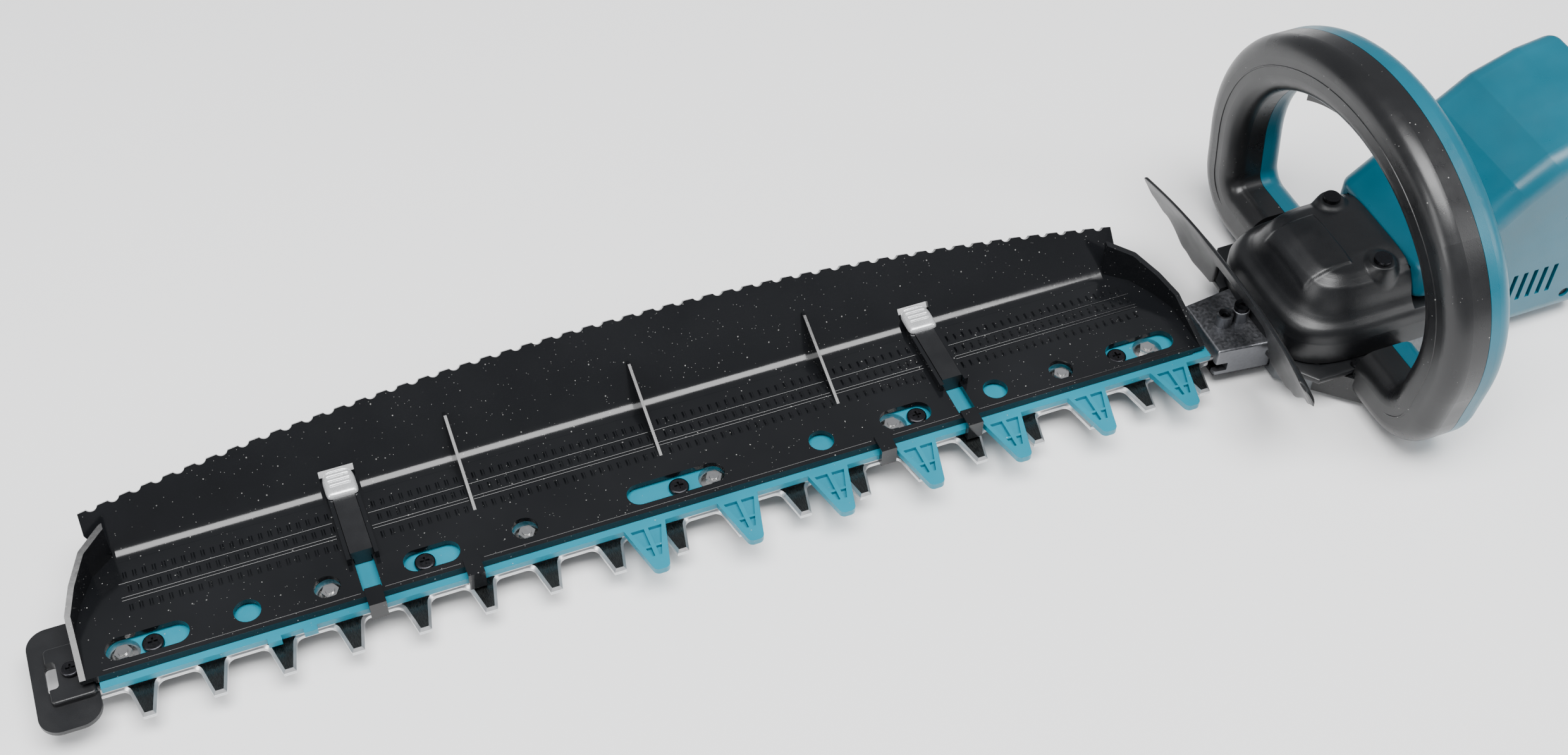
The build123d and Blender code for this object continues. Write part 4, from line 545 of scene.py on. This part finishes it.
def grip_seam(high):
    """The front grip's moulding seam: a low triangle carried along the loop's middle line on its
    front face, drawn to nothing at both ends."""
    line = loop_line(0.0)
    ahead = np.gradient(line, axis=0)
    ahead /= np.linalg.norm(ahead, axis=1)[:, None]
    out = np.stack([-ahead[:, 1], ahead[:, 0]], -1)
    ends = smooth_step(0, 0.06, np.minimum(np.linspace(0, 1, len(line)), np.linspace(1, 0, len(line))))
    rings = []
    for across, rise in ((-0.0009, -0.0004), (-0.0003, 1.0), (0.0003, 1.0), (0.0009, -0.0004)):
        place = line + out * across
        front = -0.0139 - np.where(rise > 0, high, -0.0004) * ends
        rings.append(np.concatenate([front[:, None], place], 1))
    return join_rings(np.stack(rings, 1))


# ---------------------------------------------------------------- stage

EYE = Vector((-0.6122, -0.6539, 0.8784))
EYE_RIGHT = Vector((0.9291, -0.3695, 0.0141))
EYE_DOWN = Vector((-0.2662, -0.6949, -0.6680))
EYE_FORWARD = Vector((0.2566, 0.6169, -0.7440))


def area_light(name, place, target, size, power, tint=(1, 1, 1)):
    """A soft square lamp at a place, turned to a target."""
    lamp = bpy.data.lights.new(name, "AREA")
    lamp.shape = "RECTANGLE"
    lamp.size, lamp.size_y = size
    lamp.energy = power
    lamp.color = tint
    thing = bpy.data.objects.new(name, lamp)
    thing.location = place
    thing.rotation_euler = (Vector(target) - Vector(place)).to_track_quat("-Z", "Y").to_euler()
    bpy.context.scene.collection.objects.link(thing)


class TRIMMER_OT_stage(bpy.types.Operator):
    """Sets up the floor, the lamps and the camera"""

    bl_idname = "trimmer.stage"
    bl_label = "Stage"

    def execute(self, context):
        mesh = bpy.data.meshes.new("studio_floor")
        mesh.from_pydata([(-6, -6, 0), (6, -6, 0), (6, 6, 0), (-6, 6, 0)], [], [(0, 1, 2, 3)])
        floor = bpy.data.objects.new("studio_floor", mesh)
        floor.location.z = -0.0006
        context.scene.collection.objects.link(floor)
        pale = Recipe("pale_floor")
        pale.finish((0.9, 0.9, 0.9), 0.8)
        mesh.materials.append(pale.material)
        area_light("top_lamp", (-0.3, -0.5, 2.4), (-0.2, 0, 0), (2.4, 1.2), 135)
        area_light("left_lamp", (-2.4, -0.6, 1.0), (-0.1, 0, 0), (0.5, 1.4), 22)
        area_light("right_lamp", (1.7, -1.2, 1.3), (0.1, 0, 0.1), (0.5, 0.9), 16)
        world = bpy.data.worlds.new("studio_world")
        world.use_nodes = True
        world.node_tree.nodes["Background"].inputs[0].default_value = (0.93, 0.95, 1.0, 1)
        world.node_tree.nodes["Background"].inputs[1].default_value = 0.36
        context.scene.world = world
        lens = bpy.data.cameras.new("camera")
        lens.sensor_width = 36
        lens.lens = 46.67
        lens.clip_start = 0.01
        camera = bpy.data.objects.new("camera", lens)
        turn = Matrix((EYE_RIGHT.normalized(), -EYE_DOWN.normalized(), -EYE_FORWARD.normalized()))
        camera.matrix_world = Matrix.Translation(EYE) @ turn.transposed().to_4x4()
        context.scene.collection.objects.link(camera)
        context.scene.camera = camera
        return {"FINISHED"}


class TRIMMER_OT_metal_finishes(bpy.types.Operator):
    """Gives every blade, bar, screw, shaft and gear its steel"""

    bl_idname = "trimmer.metal_finishes"
    bl_label = "Metal finishes"

    def execute(self, context):
        dress_group("metal")
        return {"FINISHED"}


class TRIMMER_OT_casting_finishes(bpy.types.Operator):
    """Gives the case, the brackets and the covers their castings and sheet"""

    bl_idname = "trimmer.casting_finishes"
    bl_label = "Casting finishes"

    def execute(self, context):
        dress_group("casting")
        return {"FINISHED"}


class TRIMMER_OT_plastic_finishes(bpy.types.Operator):
    """Gives the housing, guards, tray and grips their plastics"""

    bl_idname = "trimmer.plastic_finishes"
    bl_label = "Plastic finishes"

    def execute(self, context):
        dress_group("plastic")
        return {"FINISHED"}


class TRIMMER_OT_tray_tread(bpy.types.Operator):
    """Adds the raised lines and rows of ticks on the chip tray's floor"""

    bl_idname = "trimmer.tray_tread"
    bl_label = "Tray tread"

    def execute(self, context):
        sizes = context.scene.trimmer_sizes
        z = TRAY_TOP
        channels = [(x, 0.0095) for x in LATCH_XS]
        fins = [(x, 0.0012) for x in FIN_XS]
        lines = []
        for y in TREAD_LINES:
            for start, end in without(TREAD_START, TREAD_END, channels + fins):
                lines.append(low_ridge((start, y, z), (end, y, z), sizes.line_wide, 0.0005))
        for start, end in without(-0.706, -0.097, [(x, 0.0062) for x in HOOK_XS]):
            lines.append(low_ridge((start, RIM_LINE_Y, z), (end, RIM_LINE_Y, z), 0.0008, 0.0004))
        piece("tray_lines", combine(lines), "machine", "gloss_black")
        fold = [
            fold_fillet(start, end)
            for start, end in without(-0.688, -0.115, [(x, 0.0105) for x in LATCH_XS])
        ]
        piece("tray_fold", combine(fold), "machine", "gloss_black")
        x = np.arange(-0.686, -0.110, sizes.tick_pitch)
        for middle, half in channels + [(f, 0.002) for f in FIN_XS]:
            x = x[np.abs(x - middle) > half + 0.0006]
        rows = []
        for y, shift in TREAD_ROWS:
            rows.append(np.stack([x + shift, np.full_like(x, y), np.full_like(x, z)], -1))
        ticks = tick_field(np.concatenate(rows), 0.0024, 0.0050, sizes.tick_high)
        piece("tray_ticks", ticks, "machine", "gloss_black")
        return {"FINISHED"}


class TRIMMER_OT_latch_caps(bpy.types.Operator):
    """Makes the two latches' rounded thumb caps"""

    bl_idname = "trimmer.latch_caps"
    bl_label = "Latch caps"

    def execute(self, context):
        high = context.scene.trimmer_sizes.cap_high
        for node, body in (("latch_cap_front", "front_latch"), ("latch_cap_rear", "rear_latch")):
            low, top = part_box(node)
            middle = (low.x + top.x) / 2
            made = piece(node + "_crown", thumb_cap(middle, low.y, low.z, high), body, "silver_plastic")
            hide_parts(node)
        return {"FINISHED"}


class TRIMMER_OT_gear_cover(bpy.types.Operator):
    """Makes the gear cover's crowned shell"""

    bl_idname = "trimmer.gear_cover"
    bl_label = "Gear cover"

    def execute(self, context):
        skin = gear_dome(context.scene.trimmer_sizes.panel_high)
        made = piece("gear_cover_shell", skin, "machine", "black_plastic", 0.9)
        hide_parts("gear_cover")
        return {"FINISHED"}


class TRIMMER_OT_hand_guard(bpy.types.Operator):
    """Makes the hand guard's ribbon and its brim"""

    bl_idname = "trimmer.hand_guard"
    bl_label = "Hand guard"

    def execute(self, context):
        thick = context.scene.trimmer_sizes.guard_thick
        skin = combine([guard_ribbon(thick), brim_side(1), brim_side(-1)])
        made = piece("hand_guard_ribbon", skin, "machine", "black_plastic", 0.9)
        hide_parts("hand_guard")
        return {"FINISHED"}


class TRIMMER_OT_grip_seam(bpy.types.Operator):
    """Adds the moulding seam on the front grip"""

    bl_idname = "trimmer.grip_seam"
    bl_label = "Grip seam"

    def execute(self, context):
        piece("front_grip_seam", grip_seam(context.scene.trimmer_sizes.seam_high), "machine", "soft_black")
        return {"FINISHED"}


OPERATORS = [
    TRIMMER_OT_metal_finishes,
    TRIMMER_OT_casting_finishes,
    TRIMMER_OT_plastic_finishes,
    TRIMMER_OT_tray_tread,
    TRIMMER_OT_latch_caps,
    TRIMMER_OT_gear_cover,
    TRIMMER_OT_hand_guard,
    TRIMMER_OT_grip_seam,
    TRIMMER_OT_stage,
]


class TRIMMER_PT_tools(bpy.types.Panel):
    """Lists the trimmer's sizes, colours and pieces"""

    bl_label = "Hedge trimmer"
    bl_idname = "TRIMMER_PT_tools"
    bl_space_type = "VIEW_3D"
    bl_region_type = "UI"
    bl_category = "Trimmer"

    def draw(self, context):
        for group in (context.scene.trimmer_sizes, context.scene.trimmer_colours):
            box = self.layout.box()
            for name in group.__annotations__:
                box.prop(group, name)
        for made in OPERATORS:
            self.layout.operator(made.bl_idname)


CLASSES = [TrimmerSizes, TrimmerColours] + OPERATORS + [TRIMMER_PT_tools]


def register():
    """Registers every class and puts the settings on the scene."""
    for made in CLASSES:
        bpy.utils.register_class(made)
    bpy.types.Scene.trimmer_sizes = bpy.props.PointerProperty(type=TrimmerSizes)
    bpy.types.Scene.trimmer_colours = bpy.props.PointerProperty(type=TrimmerColours)


def unregister():
    """Removes the settings and every class."""
    del bpy.types.Scene.trimmer_colours
    del bpy.types.Scene.trimmer_sizes
    for made in reversed(CLASSES):
        bpy.utils.unregister_class(made)


def main():
    """Builds everything in order."""
    register()
    bpy.ops.trimmer.metal_finishes()
    bpy.ops.trimmer.casting_finishes()
    bpy.ops.trimmer.plastic_finishes()
    bpy.ops.trimmer.tray_tread()
    bpy.ops.trimmer.latch_caps()
    bpy.ops.trimmer.gear_cover()
    bpy.ops.trimmer.hand_guard()
    bpy.ops.trimmer.grip_seam()
    bpy.ops.trimmer.stage()


if __name__ == "__main__":
    main()
